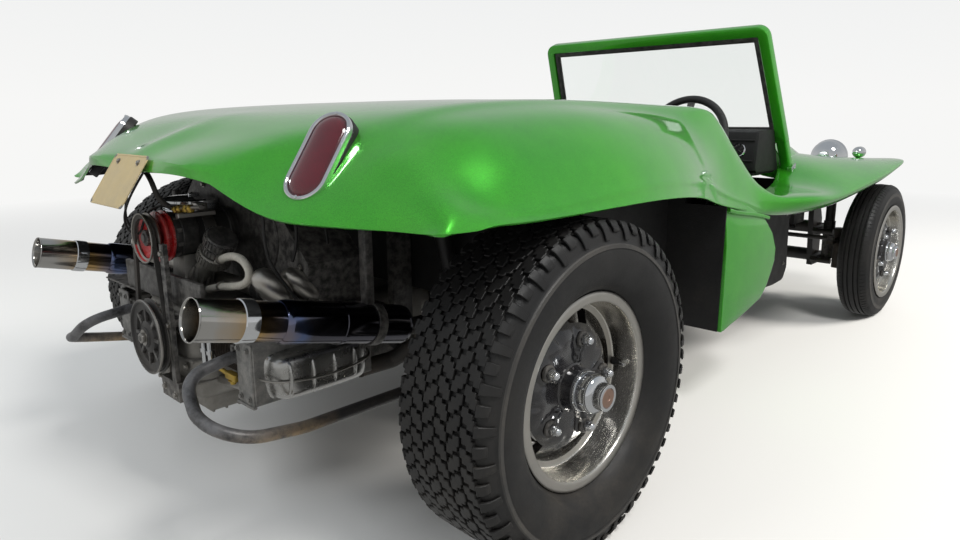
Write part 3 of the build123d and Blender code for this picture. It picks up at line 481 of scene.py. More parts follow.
finishes = {
    "satinBlack": dict(colour=(0.012, 0.012, 0.013), second=(0.022, 0.021, 0.02), rough=(0.34, 0.52), grain=0.25,
        grainScale=700, dust=0.35, dustHeight=0.6, wear=0.25),
    "tubBlack": dict(colour=(0.008, 0.008, 0.009), second=(0.012, 0.0118, 0.0115), patch=3.0, rough=(0.5, 0.72),
        grain=0.9, grainScale=300, softness=0.3, dust=0.12, dustHeight=0.6),
    "glossBlack": dict(colour=(0.006, 0.006, 0.0075), second=(0.01, 0.01, 0.012), rough=(0.1, 0.2), coat=1.0,
        coatRough=0.04, dust=0.2, dustHeight=0.6),
    "rubber": dict(colour=(0.006, 0.006, 0.0065), second=(0.012, 0.0115, 0.011), rough=(0.4, 0.6), grain=0.3,
        grainScale=900, dust=0.14, dustHeight=0.5),
    "chrome": dict(colour=(0.78, 0.8, 0.82), second=(0.7, 0.71, 0.73), metallic=1.0, rough=(0.05, 0.12), dust=0.12,
        dustHeight=1.2),
    "polished": dict(colour=(0.72, 0.72, 0.71), second=(0.6, 0.59, 0.57), metallic=1.0, rough=(0.12, 0.24),
        brushed=(50.0, (1, 8, 1)), dust=0.18, dustHeight=0.6),
    "satinAlloy": dict(colour=(0.62, 0.6, 0.56), second=(0.5, 0.48, 0.44), metallic=1.0, rough=(0.28, 0.4),
        grain=0.15, grainScale=900, dust=0.25, dustHeight=0.8),
    "castAlloy": dict(colour=(0.34, 0.33, 0.31), second=(0.2, 0.19, 0.17), patch=12.0, metallic=0.85,
        rough=(0.42, 0.62), grain=0.8, grainScale=450, softness=0.4, dust=0.35, dustHeight=0.9),
    "castIron": dict(colour=(0.035, 0.033, 0.031), second=(0.07, 0.055, 0.045), patch=10.0, metallic=0.5,
        rough=(0.5, 0.75), grain=0.9, grainScale=350, softness=0.4, dust=0.3, dustHeight=0.7),
    "redPaint": dict(colour=(0.42, 0.012, 0.014), second=(0.3, 0.01, 0.012), rough=(0.2, 0.36), coat=0.6, dust=0.2,
        dustHeight=1.0, wear=0.25),
    "steel": dict(colour=(0.46, 0.45, 0.43), second=(0.33, 0.31, 0.28), metallic=1.0, rough=(0.22, 0.4),
        brushed=(40.0, (1, 1, 9)), dust=0.3, dustHeight=0.8),
    "bronze": dict(colour=(0.55, 0.36, 0.28), second=(0.43, 0.28, 0.22), metallic=1.0, rough=(0.22, 0.35),
        brushed=(60.0, (1, 1, 6))),
    "wornRubber": dict(colour=(0.045, 0.043, 0.04), second=(0.025, 0.024, 0.023), rough=(0.42, 0.6), grain=0.2,
        grainScale=900, dust=0.2, dustHeight=0.9),
    "lip": dict(colour=(0.78, 0.76, 0.71), second=(0.6, 0.58, 0.53), metallic=1.0, rough=(0.1, 0.2),
        brushed=(60.0, (1, 8, 1)), dust=0.3, dustHeight=0.5),
    "greyTin": dict(colour=(0.2, 0.2, 0.195), second=(0.13, 0.13, 0.125), patch=10.0, metallic=0.5, rough=(0.4, 0.6),
        grain=0.3, grainScale=500, dust=0.3, dustHeight=0.9, wear=0.4),
    "coverAlloy": dict(colour=(0.62, 0.62, 0.61), second=(0.46, 0.455, 0.44), patch=14.0, metallic=1.0,
        rough=(0.16, 0.32), grain=0.25, grainScale=600, dust=0.25, dustHeight=0.7),
    "braid": dict(colour=(0.6, 0.57, 0.5), second=(0.42, 0.4, 0.35), patch=120.0, metallic=0.4, rough=(0.4, 0.6),
        grain=1.0, grainScale=900, softness=0.1),
    "belt": dict(colour=(0.035, 0.032, 0.03), second=(0.02, 0.019, 0.018), patch=40.0, rough=(0.6, 0.8), grain=0.5,
        grainScale=1200, dust=0.3, dustHeight=1.2),
    "plate": dict(colour=(0.44, 0.34, 0.17), second=(0.36, 0.29, 0.17), patch=18.0, rough=(0.4, 0.6), dust=0.35,
        dustHeight=1.2),
    "redGlass": dict(colour=(0.09, 0.002, 0.008), second=(0.05, 0.0015, 0.005), rough=(0.06, 0.14), coat=1.0,
        coatRough=0.02),
    "lampGlass": dict(colour=(0.62, 0.63, 0.63), second=(0.5, 0.51, 0.52), patch=60.0, metallic=0.5,
        rough=(0.06, 0.16), coat=1.0, coatRough=0.02),
    "vinyl": dict(colour=(0.012, 0.012, 0.0125), second=(0.02, 0.0195, 0.019), patch=9.0, rough=(0.4, 0.58),
        grain=0.7, grainScale=650, softness=0.25, dust=0.12, dustHeight=1.4),
    "wheelGrip": dict(colour=(0.01, 0.01, 0.0105), second=(0.018, 0.0175, 0.017), patch=30.0, rough=(0.32, 0.5),
        grain=0.8, grainScale=900, softness=0.3),
    "dial": dict(colour=(0.01, 0.01, 0.011), second=(0.016, 0.016, 0.017), rough=(0.08, 0.16), coat=1.0,
        coatRough=0.02),
    "amber": dict(colour=(0.7, 0.2, 0.02), second=(0.5, 0.13, 0.015), rough=(0.08, 0.16), coat=1.0, coatRough=0.02),
    "brass": dict(colour=(0.6, 0.42, 0.09), second=(0.45, 0.3, 0.07), metallic=0.9, rough=(0.25, 0.45), grain=0.3,
        grainScale=700),
}
finishes = {name: makeFinish(name, **values) for name, values in finishes.items()}
finishes["paint"] = makePaint()

exhaustHeat = {
    "clean": (0.5, 0.49, 0.47),
    "straw": (0.5, 0.33, 0.14),
    "blue": (0.12, 0.16, 0.3),
    "start": -0.6,                     # metres from the rear axle where the tint begins
    "end": -0.42,
}


def makeHeated():                      # polished steel with straw and blue heat bands along the pipe
    material, tree, shader = blankMaterial("heatedSteel")
    place = axisOf(tree, objectPlace(tree), "X")
    drift = times(tree, noiseOf(tree, 14.0, 4.0), 0.07)
    start, end = [exhaustHeat[key] - rearAxle + 0.035 for key in ("start", "end")]
    along = rangeOf(tree, mathOf(tree, "ADD", place, drift), start, end)
    warm = blendOf(tree, rangeOf(tree, along, 0.0, 0.35), exhaustHeat["clean"], exhaustHeat["straw"])
    tint = blendOf(tree, rangeOf(tree, along, 0.45, 0.8), warm, exhaustHeat["blue"])
    tint = blendOf(tree, rangeOf(tree, along, 0.85, 1.0, 0.0, 0.8), tint, (0.08, 0.07, 0.06))
    lines = effect(tree, "scuffs", "Value", Scale=45.0, Stretch=(1, 9, 9))
    feed(tree, shader, {"Base Color": dusted(tree, tint, 0.2, 0.8)[0], "Metallic": 1.0,
        "Roughness": rangeOf(tree, lines, 0.0, 1.0, 0.07, 0.2)})
    return material


def makeWornTube():                    # black paint of the bumper, worn to steel and bronze at its lowest bend
    material, tree, shader = blankMaterial("bumperTube")
    height = axisOf(tree, objectPlace(tree), "Z")
    low = rangeOf(tree, height, 0.36, 0.3)
    behind = rangeOf(tree, axisOf(tree, objectPlace(tree), "X"), -0.34 - rearAxle, -0.46 - rearAxle)
    broken = rangeOf(tree, noiseOf(tree, 30.0, 7.0, 0.7), 0.35, 0.6)
    rubbed = times(tree, mathOf(tree, "MAXIMUM", low, 0.35), times(tree, behind, broken))
    metal = blendOf(tree, rangeOf(tree, height, 0.34, 0.29), (0.34, 0.34, 0.35), (0.4, 0.28, 0.15))
    tint = blendOf(tree, rubbed, (0.018, 0.018, 0.02), metal)
    grain = effect(tree, "grain", "Height", Scale=500.0, Softness=0.5)
    feed(tree, shader, {"Base Color": dusted(tree, tint, 0.25, 0.6)[0], "Metallic": times(tree, rubbed, 0.9),
        "Roughness": rangeOf(tree, broken, 0.0, 1.0, 0.32, 0.45), "Normal": bumpOf(tree, grain, 0.25)})
    return material


def makeGlass():
    material, tree, shader = blankMaterial("clearGlass")
    film = effect(tree, "unevenness", "Value", Scale=14.0, Contrast=0.35)
    feed(tree, shader, {"Base Color": blendOf(tree, film, (0.93, 0.97, 0.95), (0.96, 0.98, 0.97)), "IOR": 1.45,
        "Roughness": rangeOf(tree, film, 0.0, 1.0, 0.0, 0.05), "Transmission Weight": 1.0})
    return material


finishes.update(heated=makeHeated(), bumperTube=makeWornTube(), glass=makeGlass())
print("finishes made:", len(finishes))


def wear(obj, *names, pick=None):      # pick: face to index of its finish
    obj.data.materials.clear()
    for name in names:
        obj.data.materials.append(finishes[name])
    if pick:
        obj.data.polygons.foreach_set("material_index", [pick(face) for face in obj.data.polygons])


def complete(obj, name, slot, *names, body="chassis", pick=None, smooth=35.0, replaces=(), keepFaces=False):
    if isinstance(obj, list):
        obj = joined(obj)
    obj.name = name
    seat(obj)
    if names and not keepFaces:
        wear(obj, *names, pick=pick)
    selectOnly(obj)
    if smooth:
        bpy.ops.object.shade_smooth_by_angle(angle=radians(smooth))
    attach(obj, body)
    if replaces:
        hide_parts(*replaces)
    return obj


def completeBoth(obj, name, *values, node=None, **settings):    # the piece and its mirror image, two pieces
    twin = twinOf(obj)
    for side, piece in (("Left", obj), ("Right", twin)):
        complete(piece, name + side, *values, replaces=(node + side.lower(),) if node else (), **settings)


view = {
    "place": (-2.1875, -1.5994, 0.9023),
    "yaw": 0.7688,
    "pitch": -0.2152,
    "roll": -0.0051,
    "lens": 26.197,
}


def placeCamera():
    turn = Matrix.Rotation(view["yaw"] - pi / 2, 4, "Z")
    nod = Matrix.Rotation(pi / 2 + view["pitch"], 4, "X")
    lean = Matrix.Rotation(view["roll"], 4, "Z")
    data = bpy.data.cameras.new("photoView")
    data.lens = view["lens"]
    data.sensor_width = 36
    camera = bpy.data.objects.new("photoView", data)
    bpy.context.scene.collection.objects.link(camera)
    camera.matrix_world = Matrix.Translation(view["place"]) @ turn @ nod @ lean
    bpy.context.scene.camera = camera


studio = {
    "floor": (0.74, 0.73, 0.71),
    "horizon": (0.93, 0.93, 0.92),
    "zenith": (0.62, 0.66, 0.7),
    "ambient": 0.62,
    "mirrored": 0.6,                   # how bright the horizon looks in reflections
    "mirroredFloor": (0.36, 0.36, 0.35),
    "size": 60,                        # metres across the floor
    "fade": (2.4, 7.5),                # how far out the floor turns into the horizon
    # place, aim, width, height, watts, colour
    "lamps": [((3.4, -4.6, 4.6), (-0.4, -0.4, 0.6), 2.4, 2.4, 430, (1.0, 0.97, 0.92)),
              ((-4.2, 1.5, 3.4), (-0.6, 0, 0.5), 3.4, 1.6, 110, (0.93, 0.97, 1.0)),
              ((-1.2, -4.0, 6.4), (-1.0, -0.6, 0.6), 1.6, 1.6, 230, (1.0, 0.99, 0.97))],
}


def raysOf(tree):                      # what the camera sees, directly or not, and what it sees mirrored
    rays = node(tree, "LightPath").outputs
    glossy, through = rays["Is Glossy Ray"], rays["Is Transmission Ray"]
    seen = mathOf(tree, "MAXIMUM", rays["Is Camera Ray"], mathOf(tree, "MAXIMUM", glossy, through))
    return seen, mathOf(tree, "SUBTRACT", glossy, through, True)


def buildStudio():
    scene = bpy.context.scene
    scene.view_settings.view_transform = "Standard"
    floor = primitive("plane", size=studio["size"])
    floor.name = "studioFloor"
    material, tree, shader = blankMaterial("studioFloor")
    length = node(tree, "VectorMath", {0: objectPlace(tree)}, operation="LENGTH").outputs["Value"]
    away = rangeOf(tree, length, *studio["fade"])
    feed(tree, shader, {"Base Color": blendOf(tree, away, studio["floor"], studio["horizon"]), "Roughness": 0.85,
        "Specular IOR Level": 0.2})
    seen, mirrored = raysOf(tree)
    glow, dark = [node(tree, "Emission", {"Color": (*studio[key], 1), "Strength": 1.0}).outputs[0]
        for key in ("horizon", "mirroredFloor")]
    mix = node(tree, "MixShader", {0: times(tree, seen, away), 1: shader.outputs[0], 2: glow}).outputs[0]
    last = node(tree, "MixShader", {0: mirrored, 1: mix, 2: dark}).outputs[0]
    feed(tree, tree.nodes["Material Output"], {"Surface": last})
    floor.data.materials.append(material)
    world = bpy.data.worlds.new("studio")
    scene.world = world
    world.use_nodes = True
    tree = world.node_tree
    up = axisOf(tree, node(tree, "TexCoord").outputs["Generated"], "Z")
    sky = blendOf(tree, rangeOf(tree, up, 0.02, 0.8), studio["horizon"], studio["zenith"])
    seen, mirrored = raysOf(tree)
    plain = rangeOf(tree, seen, 0.0, 1.0, studio["ambient"], 1.0)
    feed(tree, tree.nodes["Background"], {"Color": sky, "Strength": rangeOf(tree, mirrored, 0.0, 1.0, plain,
        studio["mirrored"])})
    for index, (place, aim, width, height, watts, colour) in enumerate(studio["lamps"]):
        data = bpy.data.lights.new("softbox" + str(index), "AREA")
        data.shape = "RECTANGLE"
        data.size = width
        data.size_y = height
        data.energy = watts
        data.color = colour
        lamp = bpy.data.objects.new(data.name, data)
        scene.collection.objects.link(lamp)
        lamp.matrix_world = facingMatrix(Vector(place), Vector(place) - Vector(aim))
        lamp.visible_glossy = index == 2   # only the overhead one is mirrored in the paint


placeCamera()
buildStudio()
print("camera and studio placed")


body = {
    "wall": 5.0,                       # thickness of the moulding
    "rimDrop": 28.0,                   # turned-down edge round the cockpit
    "smoothing": 2,                    # subdivision levels
}

# Across the half body the columns are: 0 to 4 deck, 5 rim of the cockpit, 6 and 7 band, 8 crease,
# 9 to 11 side, 12 to 14 bead above the lip, 15 lip.


def sideArc(neck, foot, bow, share):
    along = Vector((foot[0] - neck[0], foot[1] - neck[1]))
    out = Vector((-along.y, along.x)).normalized()
    point = Vector(neck) + along * share + out * bow * (1 - (2 * share - 1) ** 2)
    return point.x, point.y


def deckRow(x, half, lip, neck, top, bow, bead, step):
    at = lambda share: sideArc((neck, top), (half, lip), bow, share)
    row = [(0, top + 4), (82, top + 4), (200, top + 4), (335, top + 3), (450, top + 2), (545, top)]
    row += [(neck - 27, top - 1), (neck, top - 4 - step * 0.2)]
    row += [(neck + 26, top - 14 - step), at(0.3), at(0.52), at(0.74)]
    y, z = at(0.93)
    row += [(half - 24 + min(bead, 40) * 0.1, lip + bead + 16), (half - 9, lip + bead + 2),
        (half - 10, lip + bead * 0.62), (half, lip)]
    return [(x, y, z) for y, z in row]


def bodyRows():
    rows = [
        # lower edge of the tail
        [(-541, 0, 794), (-545, 84, 795), (-547, 190, 797), (-541, 262, 795), (-526, 335, 784), (-514, 442, 745),
         (-508, 530, 732), (-485, 590, 729), (-462, 645, 728), (-440, 692, 727), (-420, 740, 726), (-412, 784, 726),
         (-413, 806, 728), (-416, 824, 730), (-416, 836, 731), (-410, 845, 732)],
        [(-527, 0, 826), (-531, 84, 821), (-549, 195, 820), (-543, 272, 815), (-512, 345, 811), (-474, 455, 786),
         (-462, 540, 768), (-452, 592, 761), (-440, 643, 754), (-426, 692, 748), (-414, 742, 745), (-408, 786, 744),
         (-405, 808, 743), (-402, 830, 742), (-400, 842, 740), (-398, 848, 731)],
        [(-506, 0, 846), (-503, 84, 836), (-500, 200, 838), (-490, 290, 840), (-470, 372, 838), (-424, 475, 820),
         (-412, 548, 808), (-408, 594, 800), (-404, 640, 792), (-400, 692, 783), (-396, 744, 775), (-392, 790, 768),
         (-389, 813, 763), (-385, 832, 756), (-382, 843, 746), (-370, 849, 730)],
        [(-448, 0, 869), (-432, 84, 858), (-430, 205, 862), (-430, 315, 865), (-424, 408, 862), (-390, 500, 846),
         (-378, 555, 840), (-373, 597, 835), (-378, 640, 832), (-373, 692, 816), (-370, 744, 800), (-368, 791, 783),
         (-366, 815, 771), (-361, 833, 758), (-354, 842, 745), (-336, 850, 729)],
        [(-386, 0, 893), (-384, 84, 886), (-380, 205, 889), (-383, 330, 884), (-388, 436, 878), (-358, 520, 874),
         (-345, 562, 870), (-339, 597, 864), (-336, 636, 854), (-344, 692, 841), (-343, 745, 812), (-343, 793, 784),
         (-342, 816, 768), (-339, 833, 755), (-334, 841, 745), (-320, 850, 732)],
        [(-318, 0, 914), (-316, 82, 912), (-312, 200, 910), (-310, 335, 906), (-308, 440, 902), (-304, 520, 897),
         (-300, 560, 894), (-298, 592, 888), (-297, 628, 878), (-295, 690, 857), (-294, 748, 826), (-294, 795, 782),
         (-294, 816, 762), (-293, 832, 751), (-291, 839, 745), (-288, 850, 734)],
    ]
    # x, half width, lip, neck, top, bow, bead height, depth of the crease
    rows += [
        deckRow(-225, 850, 731, 588, 917, 50, 10, 0),
        deckRow(-110, 850, 729, 594, 932, 50, 16, 0),
        deckRow(40, 850, 730, 600, 941, 50, 22, 0),
        deckRow(165, 850, 731, 604, 944, 50, 28, 2),
        deckRow(330, 830, 724, 604, 942, 46, 33, 7),
        deckRow(480, 800, 710, 602, 939, 41, 38, 12),
        deckRow(620, 758, 690, 598, 936, 33, 44, 16),
        deckRow(730, 722, 668, 595, 933, 25, 50, 14),
    ]
    # the columns from the rim outwards, along the cockpit and the front fender
    sides = [
        (835, [(556, 931), (574, 932), (592, 931), (612, 926), (639, 873), (663, 800), (680, 737),
               (690, 698), (697, 686), (696, 673), (703, 647)]),
        (905, [(556, 922), (574, 923), (592, 922), (612, 917), (638, 853), (658, 782), (676, 718),
               (686, 678), (693, 668), (692, 657), (698, 634)]),
        (952, [(557, 890), (576, 891), (596, 890), (617, 885), (641, 829), (657, 772), (673, 715),
               (684, 666), (690, 657), (690, 647), (695, 626)]),
        (1005, [(559, 840), (580, 841), (603, 840), (625, 835), (647, 791), (661, 748), (673, 702),
               (683, 654), (688, 646), (688, 637), (692, 617)]),
        (1085, [(565, 760), (588, 761), (618, 760), (643, 755), (659, 724), (668, 693), (676, 662),
               (682, 631), (686, 625), (686, 618), (687, 604)]),
        (1160, [(566, 690), (596, 691), (632, 690), (657, 685), (672, 665), (680, 646), (683, 626),
               (683, 608), (684, 603), (683, 597), (681, 590)]),
        (1255, [(565, 641), (605, 641), (652, 641), (692, 637), (702, 628), (706, 618), (704, 606), (699, 594),
                (694, 587), (688, 581), (679, 574)]),
        (1335, [(565, 640), (615, 640), (675, 640), (724, 636), (738, 628), (742, 617), (736, 602), (722, 587),
                (710, 579), (696, 573), (680, 566)]),
        (1415, [(565, 640), (625, 641), (700, 640), (754, 635), (766, 627), (769, 615), (761, 599), (745, 584),
                (730, 575), (712, 568), (692, 562)]),
        (1500, [(562, 642), (625, 643), (702, 640), (758, 632), (773, 623), (777, 611), (769, 596), (753, 582),
                (737, 573), (720, 567), (702, 562)]),
        (1600, [(545, 652), (605, 648), (685, 642), (748, 630), (773, 620), (778, 609), (770, 595), (755, 582),
                (740, 574), (724, 569), (708, 565)]),
        (1700, [(516, 694), (580, 678), (660, 662), (738, 640), (770, 625), (777, 614), (770, 600), (756, 588),
                (742, 580), (727, 575), (712, 571)]),
        (1800, [(478, 738), (545, 722), (634, 700), (725, 663), (767, 637), (776, 624), (771, 609), (759, 597),
                (747, 590), (734, 585), (722, 581)]),
        (2000, [(440, 750), (525, 734), (630, 716), (722, 683), (766, 657), (776, 644), (775, 631), (768, 621),
                (761, 614), (753, 609), (745, 604)]),
        (2200, [(410, 738), (515, 730), (628, 721), (718, 697), (763, 674), (774, 663), (775, 653), (772, 644),
                (768, 639), (763, 634), (757, 629)]),
        (2400, [(372, 706), (490, 714), (618, 717), (706, 704), (750, 689), (761, 682), (762, 675), (761, 669),
                (758, 665), (754, 661), (749, 657)]),
        (2580, [(342, 668), (470, 694), (600, 707), (690, 706), (735, 701), (748, 697), (750, 692), (749, 688),
                (747, 685), (744, 682), (740, 679)]),
        (2690, [(322, 648), (445, 680), (572, 699), (662, 703), (704, 701), (718, 698), (720, 694), (719, 690),
                (717, 688), (714, 686), (711, 683)]),
        (2750, [(310, 636), (425, 670), (540, 691), (610, 698), (648, 698), (660, 696), (662, 693), (661, 690),
                (659, 688), (657, 686), (654, 684)]),
    ]
    rows += [[None] * 5 + [(x, y, z) for y, z in side] for x, side in sides]
    edge = rows[9]                     # rear edge of the cockpit opening, with its round corner
    edge[4] = (168, 420, 944)
    edge[5] = (200, 510, 943)
    edge[6] = (186, 572, 943)
    rows[10][5] = (318, 553, 942)
    rows[11][5] = (480, 555, 939)
    rows[12][5] = (620, 555, 936)
    rows[13][5] = (730, 555, 933)
    for row in rows[10:14]:
        row[:5] = [None] * 5
        row[6] = (row[6][0], 573, row[6][2] + 1)
    return rows


def buildBody():
    rows = bodyRows()
    wide, long = len(rows[0]), len(rows)
    obj = primitive("grid", x_subdivisions=wide - 1, y_subdivisions=long - 1, size=1)
    places = [point for row in rows for point in row]
    for vertex, point in zip(obj.data.vertices, places):
        if point:
            vertex.co = spot(*point)
    # creases: row, column, row, column, sharpness
    lines = [(r, 0, r + 1, 0, 0.5) for r in range(1, 4)] + [(r, 1, r + 1, 1, 0.35) for r in range(1, 3)]
    lines += [(r, 4, r + 1, 4, 0.75) for r in range(0, 3)] + [(1, c, 1, c + 1, 0.6) for c in range(4)]
    lines += [(r, 8, r + 1, 8, 0.35) for r in range(11, 14)] + [(r, 8, r + 1, 8, 0.75) for r in range(14, 20)]
    lines += [(r, 5, r + 1, 5, 0.7) for r in range(9, 24)] + [(9, c, 9, c + 1, 0.7) for c in range(5)]
    lines += [(r, 7, r + 1, 7, 0.35) for r in range(11, 14)]
    sharp = {}
    for r, c, r2, c2, amount in lines:
        sharp[frozenset((r * wide + c, r2 * wide + c2))] = amount
    crease = obj.data.attributes.new("crease_edge", "FLOAT", "EDGE")
    crease.data.foreach_set("value", [sharp.get(frozenset(edge.vertices), 0.0) for edge in obj.data.edges])
    selectOnly(obj)
    gone = [index for index, point in enumerate(places) if point is None]
    for vertex in obj.data.vertices:
        vertex.select = False
    for index in gone:
        obj.data.vertices[index].select = True
    for part in (obj.data.edges, obj.data.polygons):
        part.foreach_set("select", [False] * len(part))
    bpy.ops.object.mode_set(mode="EDIT")
    bpy.ops.mesh.select_mode(type="VERT")
    bpy.ops.mesh.delete(type="VERT")
    bpy.ops.object.mode_set(mode="OBJECT")
    # the rim of the cockpit is turned down, and further down inside the sills
    rim = [spot(*point) for point in [rows[9][c] for c in range(6)] + [rows[r][5] for r in range(10, 24)]]
    near = lambda co: any((co - place).length < 1e-5 for place in rim)
    for edge in obj.data.edges:
        ends = [obj.data.vertices[i].co for i in edge.vertices]
        edge.select = near(ends[0]) and near(ends[1])
    bpy.ops.object.mode_set(mode="EDIT")
    bpy.ops.mesh.select_mode(type="EDGE")
    bpy.ops.mesh.extrude_edges_move(TRANSFORM_OT_translate={"value": (0, 0, -body["rimDrop"] / 1000)})
    bpy.ops.object.mode_set(mode="OBJECT")
    inner = set()
    for vertex in obj.data.vertices:
        if vertex.select:
            inner.add(vertex.index)
            x = (vertex.co.x + rearAxle) * 1000
            if x > 860:
                vertex.co.z = min(0.562, vertex.co.z)
                vertex.co.y = 0.5545
    wear(obj, "paint", "tubBlack", pick=lambda face: 1 if sum(i in inner for i in face.vertices) >= 2
        and face.center.x > 0.74 - rearAxle else 0)
    editAll(obj)
    outwards()
    modify(obj, "MIRROR", use_axis=(False, True, False), merge_threshold=0.0005)
    modify(obj, "SUBSURF", levels=body["smoothing"])
    faceUp(obj)
    modify(obj, "SOLIDIFY", thickness=body["wall"] / 1000, offset=-1.0, material_offset=1)
    soften(obj, 1.6, 2, 60)
    complete(obj, "bodyMoulding", "body_paint", smooth=50, replaces=("rear_body", "cockpit_side_left",
        "cockpit_side_right", "front_fender_left", "front_fender_right"))
    return obj


buildBody()
print("body moulding built")

screen = {
    "base": (1750, 661),
    "top": (1522, 1224),
    "footHalf": 562.0,
    "headHalf": 505.0,
    "back": -17.0,
    "front": 19.0,
    "railLow": 154.0,
    "corner": 46.0,
    "band": 38.0,                      # painted width, the black surround fills the rest
}


def loopPoints(corners, inset, radii, steps=5):    # outline moved inwards, with round corners
    points = []
    for index, corner in enumerate(corners):
        corner = Vector(corner)
        before = (corner - Vector(corners[index - 1])).normalized()
        after = (Vector(corners[(index + 1) % len(corners)]) - corner).normalized()
        one, two = Vector((-before.y, before.x)), Vector((-after.y, after.x))
        slide = (one + two) / (1 + one.dot(two))
        radius = max(radii[index] - inset, 1.5)
        middle = corner + slide * (inset + radius)
        turn = one.angle_signed(two)
        for step in range(steps):
            arm = -one.copy()
            arm.rotate(Matrix.Rotation(-turn * step / (steps - 1), 2))
            points.append(middle + arm * radius)
    return points


def onScreen(y, level, out):
    rake = (Vector(screen["top"]) - Vector(screen["base"])).normalized()
    x, z = Vector(screen["base"]) + rake * level + Vector((rake.y, -rake.x)) * out
    return spot(x, y, z)


def screenHalf(level):
    high = (Vector(screen["top"]) - Vector(screen["base"])).length
    return screen["footHalf"] + (screen["headHalf"] - screen["footHalf"]) * level / high


def buildScreen():
    high = (Vector(screen["top"]) - Vector(screen["base"])).length
    low = screen["railLow"]
    corners = [(-screenHalf(low), low), (screenHalf(low), low), (screenHalf(high), high), (-screenHalf(high), high)]
    radii = (2, 2, screen["corner"], screen["corner"])
    back, front, band = screen["back"], screen["front"], screen["band"]

    def ringsOf(section):
        return [[onScreen(y, level, out) for y, level in loopPoints(corners, inset, radii, 7)]
            for inset, out in section]

    frame = lofted(ringsOf([(3.5, back), (0.8, back + 1.5), (0, back + 5), (0, front - 5), (0.8, front - 1.5),
        (3.5, front), (band - 3, front), (band, front - 3), (band, back + 3), (band - 3, back)]), pathClosed=True)
    posts = []
    for side in (1, -1):
        rings = []
        for level in (0.5, 3, 80, 160):
            outer, inner = screenHalf(level), screenHalf(level) - (44 if level < 20 else 40)
            edge = 2.5 if level > 1 else 4.5
            outline = [(inner, back), (outer, back), (outer, front), (inner, front)]
            rings.append([onScreen(side * y, level, out) for y, out in loopPoints(outline, edge - 2.5,
                (7, 7, 7, 7), 4)])
        posts.append(lofted(rings))
    surround = lofted(ringsOf([(band - 4, -9), (band - 4, 9), (band + 12, 9), (59, 5), (60, 2.6), (60, -2.6),
        (59, -5), (band + 12, -9)]), pathClosed=True)
    glass = lofted(ringsOf([(54, -2.2), (54, 2.2)]))
    complete([frame, *posts], "windscreenFrame", "body_paint", "paint", replaces=("windscreen_frame",))
    complete(surround, "windscreenSurround", "black_paint", "satinBlack")
    complete(glass, "windscreenGlass", "glass", "glass", smooth=0, replaces=("windscreen_glass",))
    seal = tube([onScreen(y, low - 4, -4) for y in (-500, -400, -200, 0, 200, 400, 500)], 7, False, 10)
    complete(seal, "screenSeal", "rubber", "rubber")
    brackets = []
    for side in (1, -1):
        spotsOf = lambda y, level, out: onScreen(side * y, level, out)
        rings = [[spotsOf(*p) for p in ((547, lv, back - 5), (566 - lv * 0.03, lv, back - 5),
            (566 - lv * 0.03, lv, front + 2), (562.4, lv, front + 2), (562.4, lv, back), (547, lv, back))]
            for lv in (6, 9, 52, 56)]
        brackets.append(lofted(rings))
        for lv in (18, 42):
            place = spotsOf(565, lv, 2)
            brackets.append(turned([(0, 0), (6, 0), (5, 2.4), (2.4, 3.6), (0, 3.8)], place, (0, side, 0), 16))
    complete(brackets, "screenBrackets", "chrome", "chrome")


bonnet = {
    # station, foot half, foot height, shoulder half, top height, bow of the side
    "stations": [(1600, 548, 640, 470, 862, 14), (2050, 505, 668, 400, 806, 16), (2450, 420, 610, 310, 742, 18),
                 (2795, 340, 520, 230, 640, 20)],
    "wall": 4.0,
}


def bonnetAt(x):
    rows = bonnet["stations"]
    for low, high in zip(rows, rows[1:]):
        if x <= high[0]:
            share = (x - low[0]) / (high[0] - low[0])
            return [a + (b - a) * share for a, b in zip(low, high)]
    return list(rows[-1])


def bonnetRow(x, shrink=1.0):
    _, foot, footZ, shoulder, top, bow = bonnetAt(x)
    side = []
    for share in (0.16, 0.34, 0.52, 0.7, 0.86, 1.0):
        y = shoulder + (foot - shoulder) * share
        z = top - 14 + (footZ - top + 14) * share
        rise = bow * 4 * share * (1 - share) * 0.9
        side.append((y + rise, z + rise * 0.35))
    half = [(0, top), (shoulder * 0.3, top - 0.4), (shoulder * 0.62, top - 1.6), (shoulder * 0.86, top - 4),
        (shoulder * 0.97, top - 8)] + side
    middle = (top + footZ) / 2
    half = [(y * shrink, middle + (z - middle) * shrink) for y, z in half]
    whole = [(-y, z) for y, z in reversed(half[1:])] + half
    return [(x, y, z) for y, z in whole]


